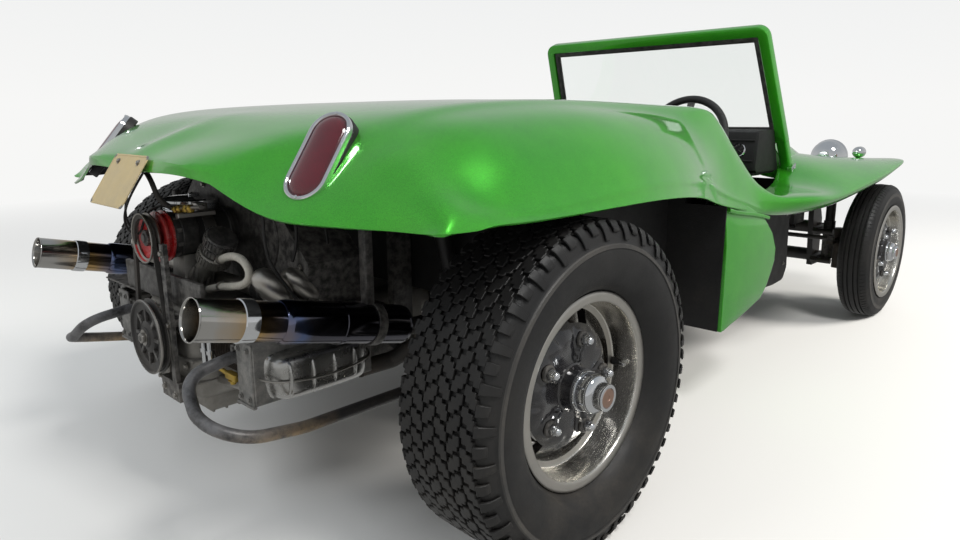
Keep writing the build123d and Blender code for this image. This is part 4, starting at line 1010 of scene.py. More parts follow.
def buildBonnet():
    rows = [bonnetRow(x) for x in (1560, 1640, 1740, 1860, 1980, 2060, 2160, 2280, 2400, 2480, 2570, 2660, 2730, 2762)]
    rows += [bonnetRow(2782, 0.988), bonnetRow(2793, 0.955), bonnetRow(2795, 0.9), bonnetRow(2795, 0.55),
        bonnetRow(2795, 0.02)]
    skin = lofted(rows, ringClosed=False)
    editAll(skin)
    rake = onScreen(0, 100, 0) - onScreen(0, 0, 0)
    bpy.ops.mesh.bisect(plane_co=onScreen(0, 0, 19.6), plane_no=Vector((rake.z, 0, -rake.x)).normalized(),
        clear_inner=True)
    clearAll()
    faceUp(skin)
    modify(skin, "SUBSURF", levels=1)
    modify(skin, "SOLIDIFY", thickness=bonnet["wall"] / 1000, offset=-1.0)
    complete(skin, "bonnetMoulding", "body_paint", "paint", smooth=45, replaces=("bonnet",))
    catches = []
    for side in (1, -1):
        for x in (1900, 2420):
            _, foot, footZ, shoulder, top, bow = bonnetAt(x)
            y, z = shoulder + (foot - shoulder) * 0.72 + bow * 0.8, top - 14 + (footZ - top + 14) * 0.72
            plate = block((x - 12, y - 4, z - 20), (x + 12, y + 3, z + 20), 2, 2)
            hook = rodBetween((x, y + 3, z - 12), (x, y + 9, z + 24), 3, 12, 1)
            pair = joined([plate, hook])
            if side < 0:
                pair.data.transform(otherSide)
                pair.data.flip_normals()
            catches.append(pair)
    complete(catches, "bonnetCatches", "chrome", "chrome")


pod = {
    # height, front station
    "levels": [(253, 914), (262, 975), (273, 1038), (290, 1116), (307, 1190), (342, 1232), (387, 1264), (423, 1284),
               (464, 1284), (520, 1246), (574, 1184), (607, 1110), (634, 1040)],
    "rear": 884.0,
    "inner": 551.0,
    "side": 700.0,
}


def buildPods():
    rings, edge = [], []
    for z, front in pod["levels"]:
        rear, side = pod["rear"], pod["side"] - max(0, z - 540) * 0.13
        outline = [(rear, pod["inner"]), (front - 12, pod["inner"]), (front, side), (rear, side)]
        ring = loopPoints(outline, 0, (2, 2, min(26, (front - rear) * 0.4), 5), 7)
        rings.append([(x, y, z) for x, y in ring])
        outline = [(rear - 6, side - 20), (rear + 3, side - 20), (rear + 3, side + 1.5), (rear - 6, side + 1.5)]
        edge.append([(x, y, z) for x, y in loopPoints(outline, 0, (1, 1, 3, 3), 4)])
    shell = lofted(rings)
    soften(shell, 3, 2, 70)
    flange = []
    for x, z in ((884, 630), (930, 619), (993, 609), (1060, 600), (1130, 588), (1184, 576)):
        outline = [(686, z - 6), (702.5, z - 6), (702.5, z + 5), (686, z + 8)]
        flange.append([(x, y, h) for y, h in loopPoints(outline, 0, (1, 3, 3, 1), 4)])
    shell = joined([shell, lofted(edge), lofted(flange)])
    inside = lambda face: abs(face.center.y) < 0.56 or face.normal.z > 0.8 and abs(face.center.y) < 0.68
    completeBoth(shell, "sidePod", "body_paint", "paint", "tubBlack", pick=inside, smooth=40, node="side_pod_")
    rings = []
    outline = [(1120, 262), (1640, 245), (1736, 251), (1768, 300), (1760, 384), (1752, 578), (1120, 610)]
    for inset, y in ((2, 551), (0, 552.5), (0, 556.5), (2, 558)):
        rings.append([(x, y, z) for x, z in loopPoints(outline, inset, (6, 20, 30, 30, 30, 6, 6), 5)])
    wall = lofted(rings)
    bolts = [boltHead((x, 558, z), (0, 1, 0), 9, 4) for x, z in ((1340, 300), (1560, 292), (1725, 320), (1725, 520))]
    completeBoth(wall, "sillPanel", "tub_black", "tubBlack")
    completeBoth(joined(bolts), "sillBolts", "bare_steel", "steel")


dash = {
    "dials": [(-340, 760, 46), (-245, 776, 27), (-182, 776, 27), (-438, 776, 27)],
    "switches": [-110, -60, -10, 40, 90],
}


def buildDash():
    section = [(1502, 700), (1499, 716), (1510, 826), (1516, 842), (1530, 850), (1560, 851), (1640, 850.5),
        (1652, 848), (1712, 708), (1712, 696), (1700, 691), (1516, 691)]
    middle = Vector((1600, 770))
    rings = []
    for y, shrink in ((-509, 0.94), (-508, 0.975), (-503, 0.998), (-490, 1), (0, 1), (490, 1), (503, 0.998),
            (508, 0.975), (509, 0.94)):
        rings.append([(middle.x + (x - middle.x) * shrink, y, middle.y + (z - middle.y) * shrink)
            for x, z in section])
    board = lofted(rings)
    slope = Vector((11, 0, 110)).normalized()
    facing = Vector((-slope.z, 0, slope.x))
    onBoard = lambda y, z, out: spot(*(Vector((1499 + (z - 716) * 0.1, y, z)) + facing * out))
    beads = []
    for z in (736, 812):
        beads.append(tube([onBoard(y, z, 1.0) for y in (-496, -250, 0, 250, 496)], 4.2, False, 10))
    tray = block((1508, -500, 684), (1700, 500, 692), 2, 1)
    complete([board, *beads, tray], "dashBoard", "tub_black", "tubBlack", replaces=("dash_panel",))
    rims, faces, pins = [], [], []
    for y, z, radius in dash["dials"]:
        rims.append(turned([(radius, -2), (radius, 3), (radius - 2.4, 6), (radius - 5, 5), (radius - 6, 2.4),
            (radius - 6, -2), (radius, -2)], onBoard(y, z, 0), facing, 40))
        faces.append(turned([(0, 2.6), (radius - 5.6, 2.2), (radius - 5.6, 0), (0, 0)], onBoard(y, z, 0), facing, 40))
        for step in range(9):
            turn = radians(-120 + 30 * step)
            arm = Vector((0, sin(turn), 0)) + slope * cos(turn)
            tick = block((-0.7, -0.7, 0), (0.7, 0.7, radius * 0.16), 0)
            pins.append(centred(tick, facingMatrix(onBoard(y, z, 2.6) + arm * (radius * 0.66) / 1000, arm)))
        needle = block((-0.9, -0.9, 0), (0.9, 0.9, radius * 0.62), 0)
        arm = Vector((0, sin(-2.1), 0)) + slope * cos(-2.1)
        pins.append(centred(needle, facingMatrix(onBoard(y, z, 3.4), arm)))
    knobs = []
    for y in dash["switches"]:
        knobs.append(turned([(0, 15), (5, 15), (6.6, 13), (7, 8), (6, 5), (3, 4), (3, 0), (0, 0)],
            onBoard(y, 776, 0), facing, 20))
        knobs.append(turned([(0, 0), (9, 0), (8.4, 1.8), (4, 2.2), (0, 2.2)], onBoard(y, 776, 0), facing, 20))
    complete(rims, "dialRims", "chrome", "chrome")
    complete(faces, "dialFaces", "black_paint", "dial")
    complete(pins, "dialMarks", "chrome", "polished", smooth=0)
    complete(knobs, "dashSwitches", "black_paint", "satinBlack")


buildScreen()
buildBonnet()
buildPods()
buildDash()
print("windscreen, bonnet, side panels and dash built")

wheels = {
    "rear": {
        "x": 0.0,                      # axle's station
        "radius": 355.0,
        "middle": 750.0,               # middle of the tyre, from the middle of the vehicle
        "flange": 833.0,               # outer face of the rim
        "rimWidth": 193.0,
        "disc": 782.0,
        "cap": 878.0,
        "turn": 13.7,                  # degrees of the first nut from the top
        # radius and half width of the tyre from its bead to the crown
        "sidewall": [(198.5, 66), (207, 73), (212, 80), (217, 88), (226, 98), (238, 107), (256, 114), (276, 117),
                     (294, 116.5), (298, 115.5), (300, 117.4), (307, 116.4), (309, 113.5), (318, 110), (330, 106),
                     (338, 101), (343, 95), (345, 84), (346.5, 50), (347, 20)],
    },
    "front": {
        "x": 2400.0,
        "radius": 300.0,
        "middle": 704.0,
        "flange": 775.0,
        "rimWidth": 140.0,
        "disc": 742.0,
        "cap": 806.0,
        "turn": 30.0,
        "sidewall": [(198.5, 52), (207, 60), (213, 63.5), (222, 67), (234, 68.8), (248, 68.5), (260, 66.5), (263, 67),
                     (266, 64.6), (276, 61), (285, 56), (291, 50), (294, 43), (296.6, 36), (297, 32.5), (292.5, 32),
                     (292.5, 27), (298.4, 26.5), (299, 14.5), (293, 14), (293, 9), (299.6, 8.5), (300, 2)],
    },
}

tread = {
    "pitches": 60,
    "rows": (-78.0, -46.8, -15.6, 15.6, 46.8, 78.0),
    "halfLength": 14.5,
    "halfWidth": 13.0,
    "step": 4.2,                       # jog of a block's edges in the middle
    "top": 355.0,
    "base": 344.0,
}


def wrapped(obj, radius):              # flat block: x round the tyre, y across, z out; laid round the axle
    for vertex in obj.data.vertices:
        angle = vertex.co.x / radius
        out = vertex.co.z
        vertex.co = Vector((out * sin(angle), vertex.co.y, out * cos(angle)))


def zigBlock(row, flip, shift):
    a, b, s = tread["halfLength"], tread["halfWidth"], tread["step"]
    q = s * 0.55
    outline = [(-a - s, -b - q), (-a - s, 0), (-a + s, 0), (-a + s, b - q), (0, b - q), (0, b + q), (a + s, b + q),
        (a + s, 0), (a - s, 0), (a - s, -b + q), (0, -b + q), (0, -b - q)]
    drop = 3.2 * (abs(row) / 93) ** 2  # the crown is slightly round
    block = primitive("circle", vertices=12, radius=0.01, fill_type="NGON")
    for vertex, (t, w) in zip(block.data.vertices, outline):
        vertex.co = Vector((t + shift, row + (-w if flip else w), tread["base"] - drop)) / 1000
    editAll(block)
    rise = (0, 0, (tread["top"] - tread["base"]) / 1000)
    bpy.ops.mesh.extrude_region_move(TRANSFORM_OT_translate={"value": rise})
    outwards()
    soften(block, 1.1, 1, 60)
    wrapped(block, 0.352)
    return block


def shoulderLug(side, long, shift, half=11.0):
    path = [(353.5, 95), (349, 102), (340, 108)] + ([(329, 112.5), (318, 115)] if long else [(333, 110.5)])
    rings = []
    for index, (r, w) in enumerate(path):
        low = 7.5 if index == 0 else 6.0 - index * 0.8
        wide = half - index * (0.8 if long else 0.4)
        rings.append([Vector(((shift + t) / 1000, side * (w - d * 0.7) / 1000, (r - d) / 1000))
            for t, d in ((-wide, 0), (wide, 0), (wide, low), (-wide, low))])
    lug = lofted(rings)
    soften(lug, 1.2, 1, 50)
    wrapped(lug, 0.352)
    return lug


def allRound(obj, count):              # copies round the axle, which runs along y through the origin
    editAll(obj)
    bpy.ops.mesh.spin(steps=count - 1, angle=2 * pi * (count - 1) / count, dupli=True,
        center=(0, 0, 0), axis=(0, 1, 0))
    clearAll()
    return obj


def tyreBody(data, steps):
    half = data["sidewall"]
    loop = half + [(r, -w) for r, w in reversed(half)]
    return turned(loop + [loop[0]], Vector((0, 0, 0)), (0, 1, 0), steps)


def buildRearTyre(data):
    pitch = 2 * pi * 352 / tread["pitches"]
    pieces = []
    for index, row in enumerate(tread["rows"]):
        pieces.append(zigBlock(row, index % 2 == 1, pitch * (0.5 if index % 2 else 0.0)))
    once = joined(pieces)
    blocks = allRound(once, tread["pitches"])
    lugs = []
    for side in (1, -1):
        lugs += [shoulderLug(side, True, 0), shoulderLug(side, False, pitch)]
    lugs = allRound(joined(lugs), tread["pitches"] // 2)
    return joined([tyreBody(data, 120), blocks, lugs])


def buildFrontTyre(data):
    ribs = []
    for side in (1, -1):
        path = [(298.6, 37), (295.8, 44), (291.5, 51.5), (284, 57.8)]
        rings = []
        for r, w in path:
            rings.append([Vector((t / 1000, side * (w - d * 0.7) / 1000, (r - d) / 1000))
                for t, d in ((-7.5, 0), (7.5, 0), (7.5, 3.5), (-7.5, 3.5))])
        rib = lofted(rings)
        wrapped(rib, 0.298)
        ribs.append(rib)
    ribs = allRound(joined(ribs), 100)
    return joined([tyreBody(data, 120), ribs])


def buildRim(data):                    # flange, deep lip, step, barrel and drop centre
    f, inner = data["flange"], data["flange"] - data["rimWidth"]
    step = data["disc"] - 14
    outside = [(208, f - 7), (204, f - 8.5), (199, f - 9), (197.6, f - 14), (197, f - 26), (186, f - 45),
        (184, inner + 60), (196, inner + 40), (197.6, inner + 12), (199, inner + 9), (204, inner + 8.5),
        (208, inner + 7)]
    inside = [(208.5, inner + 3), (206, inner), (200, inner), (190, inner + 12), (176, inner + 60), (168, step - 42),
        (163.6, step - 22), (163.2, step - 5), (164.2, step - 2.6), (166, step - 2), (176.4, step - 1),
        (178.4, step + 0.4), (179.4, step + 3), (183.4, f - 22), (185, f - 8), (186.6, f - 3), (189, f - 1),
        (193, f - 0.4), (202, f - 0.2), (206.4, f - 1.2), (208.6, f - 3.6)]
    loop = outside + inside
    return turned(loop + [loop[0]], Vector((0, 0, 0)), (0, 1, 0), 120)


centre = {
    "nutCircle": 102.5,
    "lobeEnd": 134.0,                  # edge beyond a nut
    "petalEnd": 173.0,                 # edge between two nuts, at the barrel
    "depth": 48.0,                     # how far a petal falls back to the barrel
    "edge": 20.0,                      # turned-in edge of the pressing
    "wall": 0.0035,
    "around": 200,
}


def eased(value, low, high):
    share = min(1.0, max(0.0, (value - low) / (high - low)))
    return share * share * (3 - 2 * share)


def petalHeight(r, angle):             # angle in degrees from the nearest nut
    between = 36 - abs(angle)
    across = r * sin(radians(abs(angle)))
    height = -centre["depth"] * eased(r, 106, 180) * (0.75 + 0.35 * eased(abs(angle), 8, 30))
    height += 7.0 * (1 - (between / 24) ** 2 if between < 24 else 0) * eased(r, 58, 112)
    height -= 9.0 * exp(-((r - 122) / 15) ** 2 - (r * sin(radians(between)) / 9) ** 2)
    height += 5.0 * (eased(across, 1.5, 4.5) - eased(across, 8, 11)) * eased(r, 50, 58) * (1 - eased(r, 88, 98))
    height += 3.0 * (1 - eased(across, 8, 11)) * eased(r, 50, 58) * (1 - eased(r, 96, 112))
    ring = hypot(r * cos(radians(angle)) - centre["nutCircle"], across)
    height += 3.0 * (1 - eased(ring, 20, 27))
    return height


def buildCentre(data):
    face = data["disc"] + 6
    rings = []
    for index in range(25):
        share = index / 24
        ring = []
        for step in range(centre["around"]):
            turn = 360 * step / centre["around"]
            angle = (turn + 36) % 72 - 36
            end = centre["lobeEnd"] + (centre["petalEnd"] - centre["lobeEnd"]) * eased(abs(angle), 12.5, 21)
            r = 46 + (end - 46) * share
            high = face + petalHeight(r, angle)
            ring.append((r, high, turn))
        rings.append(ring)
    rings.append([(r - 1.0, high - 4, turn) for r, high, turn in rings[-1]])
    rings.append([(r - 3.0, high + 4 - centre["edge"], turn) for r, high, turn in rings[-1]])
    shape = [[Vector((r * sin(radians(t)), h, r * cos(radians(t)))) / 1000 for r, h, t in ring] for ring in rings]
    obj = lofted(shape, caps=False)
    faceUp(obj, 1)
    modify(obj, "SOLIDIFY", thickness=centre["wall"], offset=-1.0)
    return obj


def buildNuts(data):
    low = data["disc"] + 10
    around = Vector((0, 0, centre["nutCircle"] / 1000))
    hexagon = primitive("cylinder", vertices=6, radius=0.0112, depth=0.013)
    hexagon.data.transform(facingMatrix(around + Vector((0, (low + 10.5) / 1000, 0)), (0, 1, 0)))
    modify(hexagon, "BEVEL", width=0.0012, segments=2)
    dome = turned([(0, 28), (3.5, 27.4), (6.5, 25.5), (8.6, 22.4), (9.4, 18.5), (9.4, 15), (0, 15)],
        around + Vector((0, low / 1000, 0)), (0, 1, 0), 24)
    nut = joined([hexagon, dome])
    allRound(nut, 5)
    collar = turned([(10, 0), (17.5, -1), (18.6, 1), (17.6, 4.6), (14, 6.4), (10.4, 5), (10, 0)],
        around + Vector((0, low / 1000, 0)), (0, 1, 0), 28)
    allRound(collar, 5)
    return nut, collar


def buildHub(data):
    face, cap = data["disc"] + 6, data["cap"]
    room = cap - face                  # 90 mm behind, less in front
    cone = turned([(52, -10), (52, 1), (48, 3), (46, 8), (45, 0.3 * room), (43, 0.315 * room), (30, 0.315 * room),
        (30, -10), (52, -10)], Vector((0, face / 1000, 0)), (0, 1, 0), 64)
    barrel = turned([(0, -6), (42, 0.28 * room), (43.6, 0.32 * room), (43.6, 0.36 * room), (42.4, 0.385 * room),
        (39.6, 0.392 * room), (39.6, 0.42 * room), (41.4, 0.43 * room), (41.6, 0.6 * room), (40.4, 0.68 * room),
        (37.4, 0.73 * room), (31, 0.765 * room), (28.6, 0.775 * room), (28.4, 0.95 * room), (27.6, 0.98 * room),
        (25.6, 0.99 * room), (21, 0.985 * room), (20, 0.96 * room), (0, 0.955 * room)],
        Vector((0, face / 1000, 0)), (0, 1, 0), 64)
    disc = turned([(0, 0), (19.6, 0), (19.6, 3.2), (18.4, 4.2), (6, 4.6), (5, 3.4), (0, 3.3)],
        Vector((0, (face + 0.955 * room - 1.5) / 1000, 0)), (0, 1, 0), 48)
    return cone, barrel, disc


def buildDrum(data):
    end = data["disc"] - 30
    profile = [(0, end - 75), (139, end - 75), (139, end - 66), (133, end - 62), (133, end - 40), (137, end - 37),
        (137, end - 30), (133, end - 27), (133, end - 10), (126, end - 2), (112, end), (80, end), (74, end + 6),
        (66, end + 14), (0, end + 14)]
    return turned(profile, Vector((0, 0, 0)), (0, 1, 0), 72)


def buildValve(data):
    place = Vector((0.177 * sin(radians(88)), (data["disc"] - 12) / 1000, 0.177 * cos(radians(88))))
    stem = turned([(0, 0), (8, 0), (7.4, 10), (4.6, 15), (4.2, 22), (0, 22)], place, (-0.15, 1, 0), 16)
    cap = turned([(0, 21), (5.2, 21), (5.4, 31), (4, 34), (0, 34.4)], place, (-0.15, 1, 0), 16)
    return stem, cap


def buildWheel(name, data):
    tyre = buildRearTyre(data) if name == "rear" else buildFrontTyre(data)
    tyre.data.transform(Matrix.Translation((0, data["middle"] / 1000, 0)))
    rim = buildRim(data)
    disc = buildCentre(data)
    nut, collar = buildNuts(data)
    cone, barrel, badge = buildHub(data)
    drum = buildDrum(data)
    stem, cap = buildValve(data)
    place = spot(data["x"], 0, data["radius"])
    for piece in (disc, nut, collar):
        piece.data.transform(Matrix.Rotation(radians(data["turn"]), 4, "Y"))
    near = data["flange"] / 1000
    table = [
        (tyre, "Tyre", "tyre", ("rubber", "wornRubber"), "_tyre_", lambda face: 1 if
         max(abs(data["radius"] / 1000 * 0.857 - hypot(*face.center.xz)) - 0.0045, 0) == 0 else 0),
        (rim, "Rim", "rim", ("lip", "satinAlloy"), "_rim_", lambda face: 1 if face.center.y > near - 0.0045 or
         0.164 < hypot(*face.center.xz) < 0.177 else 0),
        (disc, "Centre", "black_paint", ("glossBlack",), None, None),
        (nut, "Nuts", "chrome", ("chrome",), None, None),
        (collar, "NutCollars", "rubber", ("satinBlack",), None, None),
        (cone, "HubCone", "black_paint", ("glossBlack",), None, None),
        (barrel, "HubCap", "chrome", ("chrome",), None, None),
        (badge, "HubDisc", "chrome", ("bronze",), None, None),
        (drum, "Drum", "bare_steel", ("castIron",), None, None),
        (stem, "ValveStem", "rubber", ("rubber",), None, None),
        (cap, "ValveCap", "chrome", ("chrome",), None, None),
    ]
    for piece, label, slot, names, node, pick in table:
        wear(piece, *names, pick=pick)
        piece.data.transform(Matrix.Translation(place))
        right = twinOf(piece)
        for side, obj in (("Left", piece), ("Right", right)):
            low = side.lower()
            complete(obj, name + side + label, slot, body=name + "_wheel_" + low, keepFaces=True,
                replaces=(name + node + low,) if node else ())


for name, data in wheels.items():
    buildWheel(name, data)
    print(name, "wheels built")

engine = {
    "crankZ": 419.0,
    "generatorZ": 644.0,
    "fins": 13,
    "finGap": 12.0,
}


def buildCrankPulley():
    place = spot(-522, 0, engine["crankZ"])
    body = turned([(0, 4), (30, 4), (30, 7), (84, 7), (86.5, 9), (86.5, 11), (76, 16.5), (76, 19.5), (86.5, 25),
        (86.5, 28), (85, 30), (81, 30.6), (79.5, 29), (78, 26), (70, 24.6), (62, 24), (60, 19), (40, 17.5), (37, 24),
        (31, 26.5), (24, 27.5), (22, 31), (17, 32), (0, 32)], place, (-1, 0, 0), 72)
    ribs = blocksRound(8, engine["crankZ"], (-547.5, -4.5, 36), (-537, 4.5, 66), 1.6)
    bolt = boltHead((-554, 0, engine["crankZ"]), (-1, 0, 0), 22, 8)
    drive = turned([(0, 0), (7, 0), (7, 1.4), (0, 1.4)], (-562.5, 0, engine["crankZ"]), (-1, 0, 0), 8)
    whole = joined([body, *ribs])
    edge = lambda face: 1 if hypot(face.center.y, face.center.z - engine["crankZ"] / 1000) > 0.0845 else 0
    complete(whole, "crankPulley", "black_paint", "satinBlack", "steel", body="crank_pulley", pick=edge,
        replaces=("crank_pulley",))
    complete(bolt, "crankBolt", "bare_steel", "steel", body="crank_pulley")
    complete(drive, "crankBoltSocket", "black_paint", "satinBlack", body="crank_pulley")


def buildGeneratorPulley():
    place = spot(-482, 0, engine["generatorZ"])
    ring = turned([(14, 0), (55, 0), (58, 2), (58, 6), (50, 9), (50, 12), (57, 16), (57, 20), (54, 21.5), (30, 20),
        (14, 20), (14, 0)], place, (-1, 0, 0), 64)
    inner = turned([(13, 20), (30, 22), (48, 29), (56, 36), (56, 39), (46, 43.5), (46, 47), (56, 51.5), (56.4, 54),
        (55.4, 55.4), (53.4, 55), (52, 53)], place, (-1, 0, 0), 64)
    outer = turned([(52, 53), (49, 46), (44, 36), (38, 31), (30, 28.6), (13, 28), (13, 20)], place, (-1, 0, 0), 64)
    silver = turned([(13, 28), (24, 28), (25, 29.4), (24.4, 33), (18, 35), (13, 35), (13, 28)], place, (-1, 0, 0), 48)
    hub = turned([(0, -8), (13.5, -8), (13.5, 34), (16.4, 34.5), (17, 36), (17, 46), (15.6, 48), (11, 49), (9, 52),
        (0, 52.6)], place, (-1, 0, 0), 32)
    knurl = blocksRound(16, engine["generatorZ"], (-530, -1.5, 15.6), (-519, 1.5, 18.4), 0.5, 1)
    red = joined([ring, outer])
    complete(red, "generatorPulley", "red_paint", "redPaint", body="generator_pulley", replaces=("generator_pulley",))
    complete([inner, silver], "generatorPulleyInner", "bare_steel", "steel", body="generator_pulley")
    complete([hub, *knurl], "generatorPulleyHub", "black_paint", "satinBlack", body="generator_pulley")


def buildBelt():                       # round both pulleys, in the plane of their grooves
    low, high, gap = 79.0, 49.0, engine["generatorZ"] - engine["crankZ"]
    lean = asin((low - high) / gap)
    middle = []
    for index in range(25):
        turn = pi - lean + (pi + 2 * lean) * index / 24
        middle.append((low, turn, engine["crankZ"]))
    for index in range(17):
        turn = lean + (pi - 2 * lean) * index / 16
        middle.append((high, turn, engine["generatorZ"]))
    rings = []
    for radius, turn, z in middle:
        out = lambda more: (cos(turn) * (radius + more), z + sin(turn) * (radius + more))
        rings.append([spot(-531 + x, *out(more)) for x, more in ((-5.4, 4), (5.4, 4), (3.4, -5), (-3.4, -5))])
    belt = lofted(rings, pathClosed=True)
    complete(belt, "fanBelt", "rubber", "belt", replaces=("fan_belt",))


def buildGenerator():
    place = spot(-330, 0, engine["generatorZ"])
    body = turned([(0, 0), (51, 0), (51, 12), (52, 13), (52, 20), (49.6, 22), (49.6, 96), (52, 98), (52, 132),
        (50.4, 134), (50.4, 146), (45, 156), (36, 160), (22, 161), (22, 164), (0, 164)], place, (-1, 0, 0), 56)
    band = turned([(50, 55), (53, 55), (53, 82), (50, 82), (50, 55)], place, (-1, 0, 0), 56)
    lug = block((-412, -14, 694), (-386, 14, 712), 3)
    bolt = rodBetween((-399, -26, 703), (-399, 26, 703), 4, 12, 1)
    vents = blocksRound(10, engine["generatorZ"], (-476, -5, 47.5), (-464, 5, 52.6), 1.5, 1)
    terminals = [rodBetween((-440, y, 694), (-440, y, 708), 3.2, 12, 0.6) for y in (-16, 16)]
    complete([body, *vents], "generator", "black_paint", "satinBlack", replaces=("generator",))
    complete([band, lug, bolt, *terminals], "generatorStrap", "bare_steel", "steel")


def finnedBarrel(x, side):
    profile = [(0, 0), (48, 0), (48, 6)]
    for index in range(engine["fins"]):
        high = 8 + index * engine["finGap"]
        profile += [(44, high), (63, high + 1.4), (63, high + 3), (44, high + 4.2)]
    profile += [(48, 168), (0, 168)]
    return turned(profile, (x, side * 112, 400), (0, side, 0), 40)


def buildHead(side):                   # finned head of two cylinders, under its tin cover
    pieces = [block((-462, 286, 338), (-203, 348, 448), 6)]
    for index in range(7):
        z = 346 + index * 14
        pieces.append(block((-474, 292, z), (-190, 342, z + 3.5), 1.0, 1))
    for x in (-440, -345, -322, -228):
        pieces.append(block((x, 300, 322), (x + 34, 338, 345), 5))
    head = joined(pieces)
    if side < 0:
        twin = twinOf(head)
        bpy.data.objects.remove(head)
        return twin
    return head


def buildCase():
    pieces = [block((-500, -120, 272), (-130, 120, 500), 34, 4)]
    pieces.append(block((-462, -96, 234), (-180, 96, 290), 14, 3))
    for index in range(9):
        x = -452 + index * 32
        pieces.append(block((x, -92, 232), (x + 6, 92, 262), 1.5, 1))
    for z in (318, 372, 426, 470):
        pieces.append(block((-503, -88 if z > 440 else -122, z), (-140, 88 if z > 440 else 122, z + 7), 2, 1))
    pieces.append(block((-508, -7, 286), (-140, 7, 506), 3, 2))
    pieces.append(turned([(0, 0), (46, 0), (44, 8), (34, 14), (30, 26), (26, 28), (0, 28)], (-498, 0, 419),
        (-1, 0, 0), 40))
    pieces.append(turned([(0, 0), (62, 0), (62, 5), (56, 8), (20, 8), (20, 12), (0, 12)], (-330, 0, 234),
        (0, 0, -1), 40))
    stand = lofted([[(x, y, z) for x, y in ((-472 + k, -42 + k), (-378 - k, -42 + k), (-378 - k, 42 - k),
        (-472 + k, 42 - k))] for k, z in ((0, 486), (2, 520), (9, 550), (12, 600))])
    soften(stand, 5, 2)
    pieces.append(stand)
    pump = turned([(0, 0), (40, 0), (40, 10), (34, 14), (30, 30), (22, 34), (0, 34)], (-452, 0, 470), (0, 0, 1), 32)
    pieces.append(pump)
    return joined(pieces)


def buildEngine():
    complete(buildCase(), "engineCase", "engine_alloy", "castAlloy", replaces=("engine",))
    barrels = [finnedBarrel(x, side) for side in (-1, 1) for x in (-390, -275)]
    complete(barrels, "barrels", "engine_alloy", "castIron")
    heads = joined([buildHead(-1), buildHead(1)])
    complete(heads, "cylinderHeads", "engine_alloy", "castAlloy")
    tubes = [rodBetween((x, 112, 318), (x, 296, 336), 11, 16) for x in (-436, -352, -312, -230)]
    complete(fullMirror(joined(tubes)), "pushrodTubes", "bare_steel", "steel")
    bolts = [boltHead((-503, y, z), (-1, 0, 0), 9, 5) for y, z in ((-60, 300), (-92, 360), (-92, 455), (60, 300),
        (92, 360), (92, 455), (-45, 478), (45, 478))]
    bolts += [boltHead((x, y, 232), (0, 0, -1), 8, 4) for x in (-372, -288) for y in (-38, 38)]
    complete(bolts, "caseBolts", "bare_steel", "steel")


def buildTinware():                    # sheet covers over the barrels and round the heads
    rings = []
    for x in (-478, -186):
        rings.append([(x, y, z) for y, z in ((122, 476), (150, 492), (300, 486), (346, 470), (354, 446), (354, 330),
            (346, 330), (346, 440), (338, 462), (296, 478), (152, 484), (124, 470))])
    cover = lofted(rings)
    soften(cover, 2)
    plate = block((-482, 292, 330), (-476, 352, 462), 2, 1)
    lip = block((-486, 288, 326), (-476, 356, 332), 1.5, 1)
    bolts = [boltHead((-483, y, z), (-1, 0, 0), 8, 4) for y, z in ((304, 448), (340, 448), (304, 344), (340, 344))]
    tin = fullMirror(joined([cover, plate, lip, *bolts]))
    complete(tin, "tinware", "black_paint", "greyTin")
    shelf = block((-512, 118, 496), (-190, 344, 500), 1.5, 1)
    complete(fullMirror(shelf), "tinShelf", "black_paint", "satinBlack")
    low = block((-506, -205, 500), (-494, 205, 566), 3, 2)
    complete(low, "rearTin", "black_paint", "satinBlack")


def buildRockerCovers():
    outline = [(-455, 398), (-452, 428), (-438, 437), (-226, 437), (-213, 428), (-210, 400), (-214, 352), (-224, 338),
        (-240, 333), (-426, 333), (-440, 338), (-450, 352)]
    rings = []
    middle = (-332, 386)
    for out, share in ((346, 1.0), (350, 1.03), (354, 1.03), (356, 0.97), (372, 0.955), (386, 0.9), (394, 0.8),
            (398, 0.62), (398.5, 0.3)):
        rings.append([(middle[0] + (x - middle[0]) * share, out, middle[1] + (z - middle[1]) * share)
            for x, z in outline])
    cover = lofted(rings)
    modify(cover, "SUBSURF", levels=1)
    ribs = []
    for index in range(4):
        x = -420 + index * 52
        path = [(x, 357, 430), (x, 386, 426), (x, 397, 412), (x, 400, 386), (x, 397, 358),
            (x, 386, 342), (x, 357, 338)]
        ribs.append(tube(path, 4.5, True, 8))
    cover = joined([cover, *ribs])
    complete(fullMirror(cover), "rockerCovers", "engine_alloy", "coverAlloy", replaces=("rocker_covers",))
    bail = [(-468, 345, 388), (-464, 372, 386), (-440, 396, 384), (-400, 403, 380), (-332, 405, 374),
        (-262, 403, 380), (-226, 396, 384), (-203, 372, 386), (-199, 345, 388)]
    bail = tube(bail, 2.4, True, 8)
    complete(fullMirror(bail), "coverBails", "bare_steel", "steel")


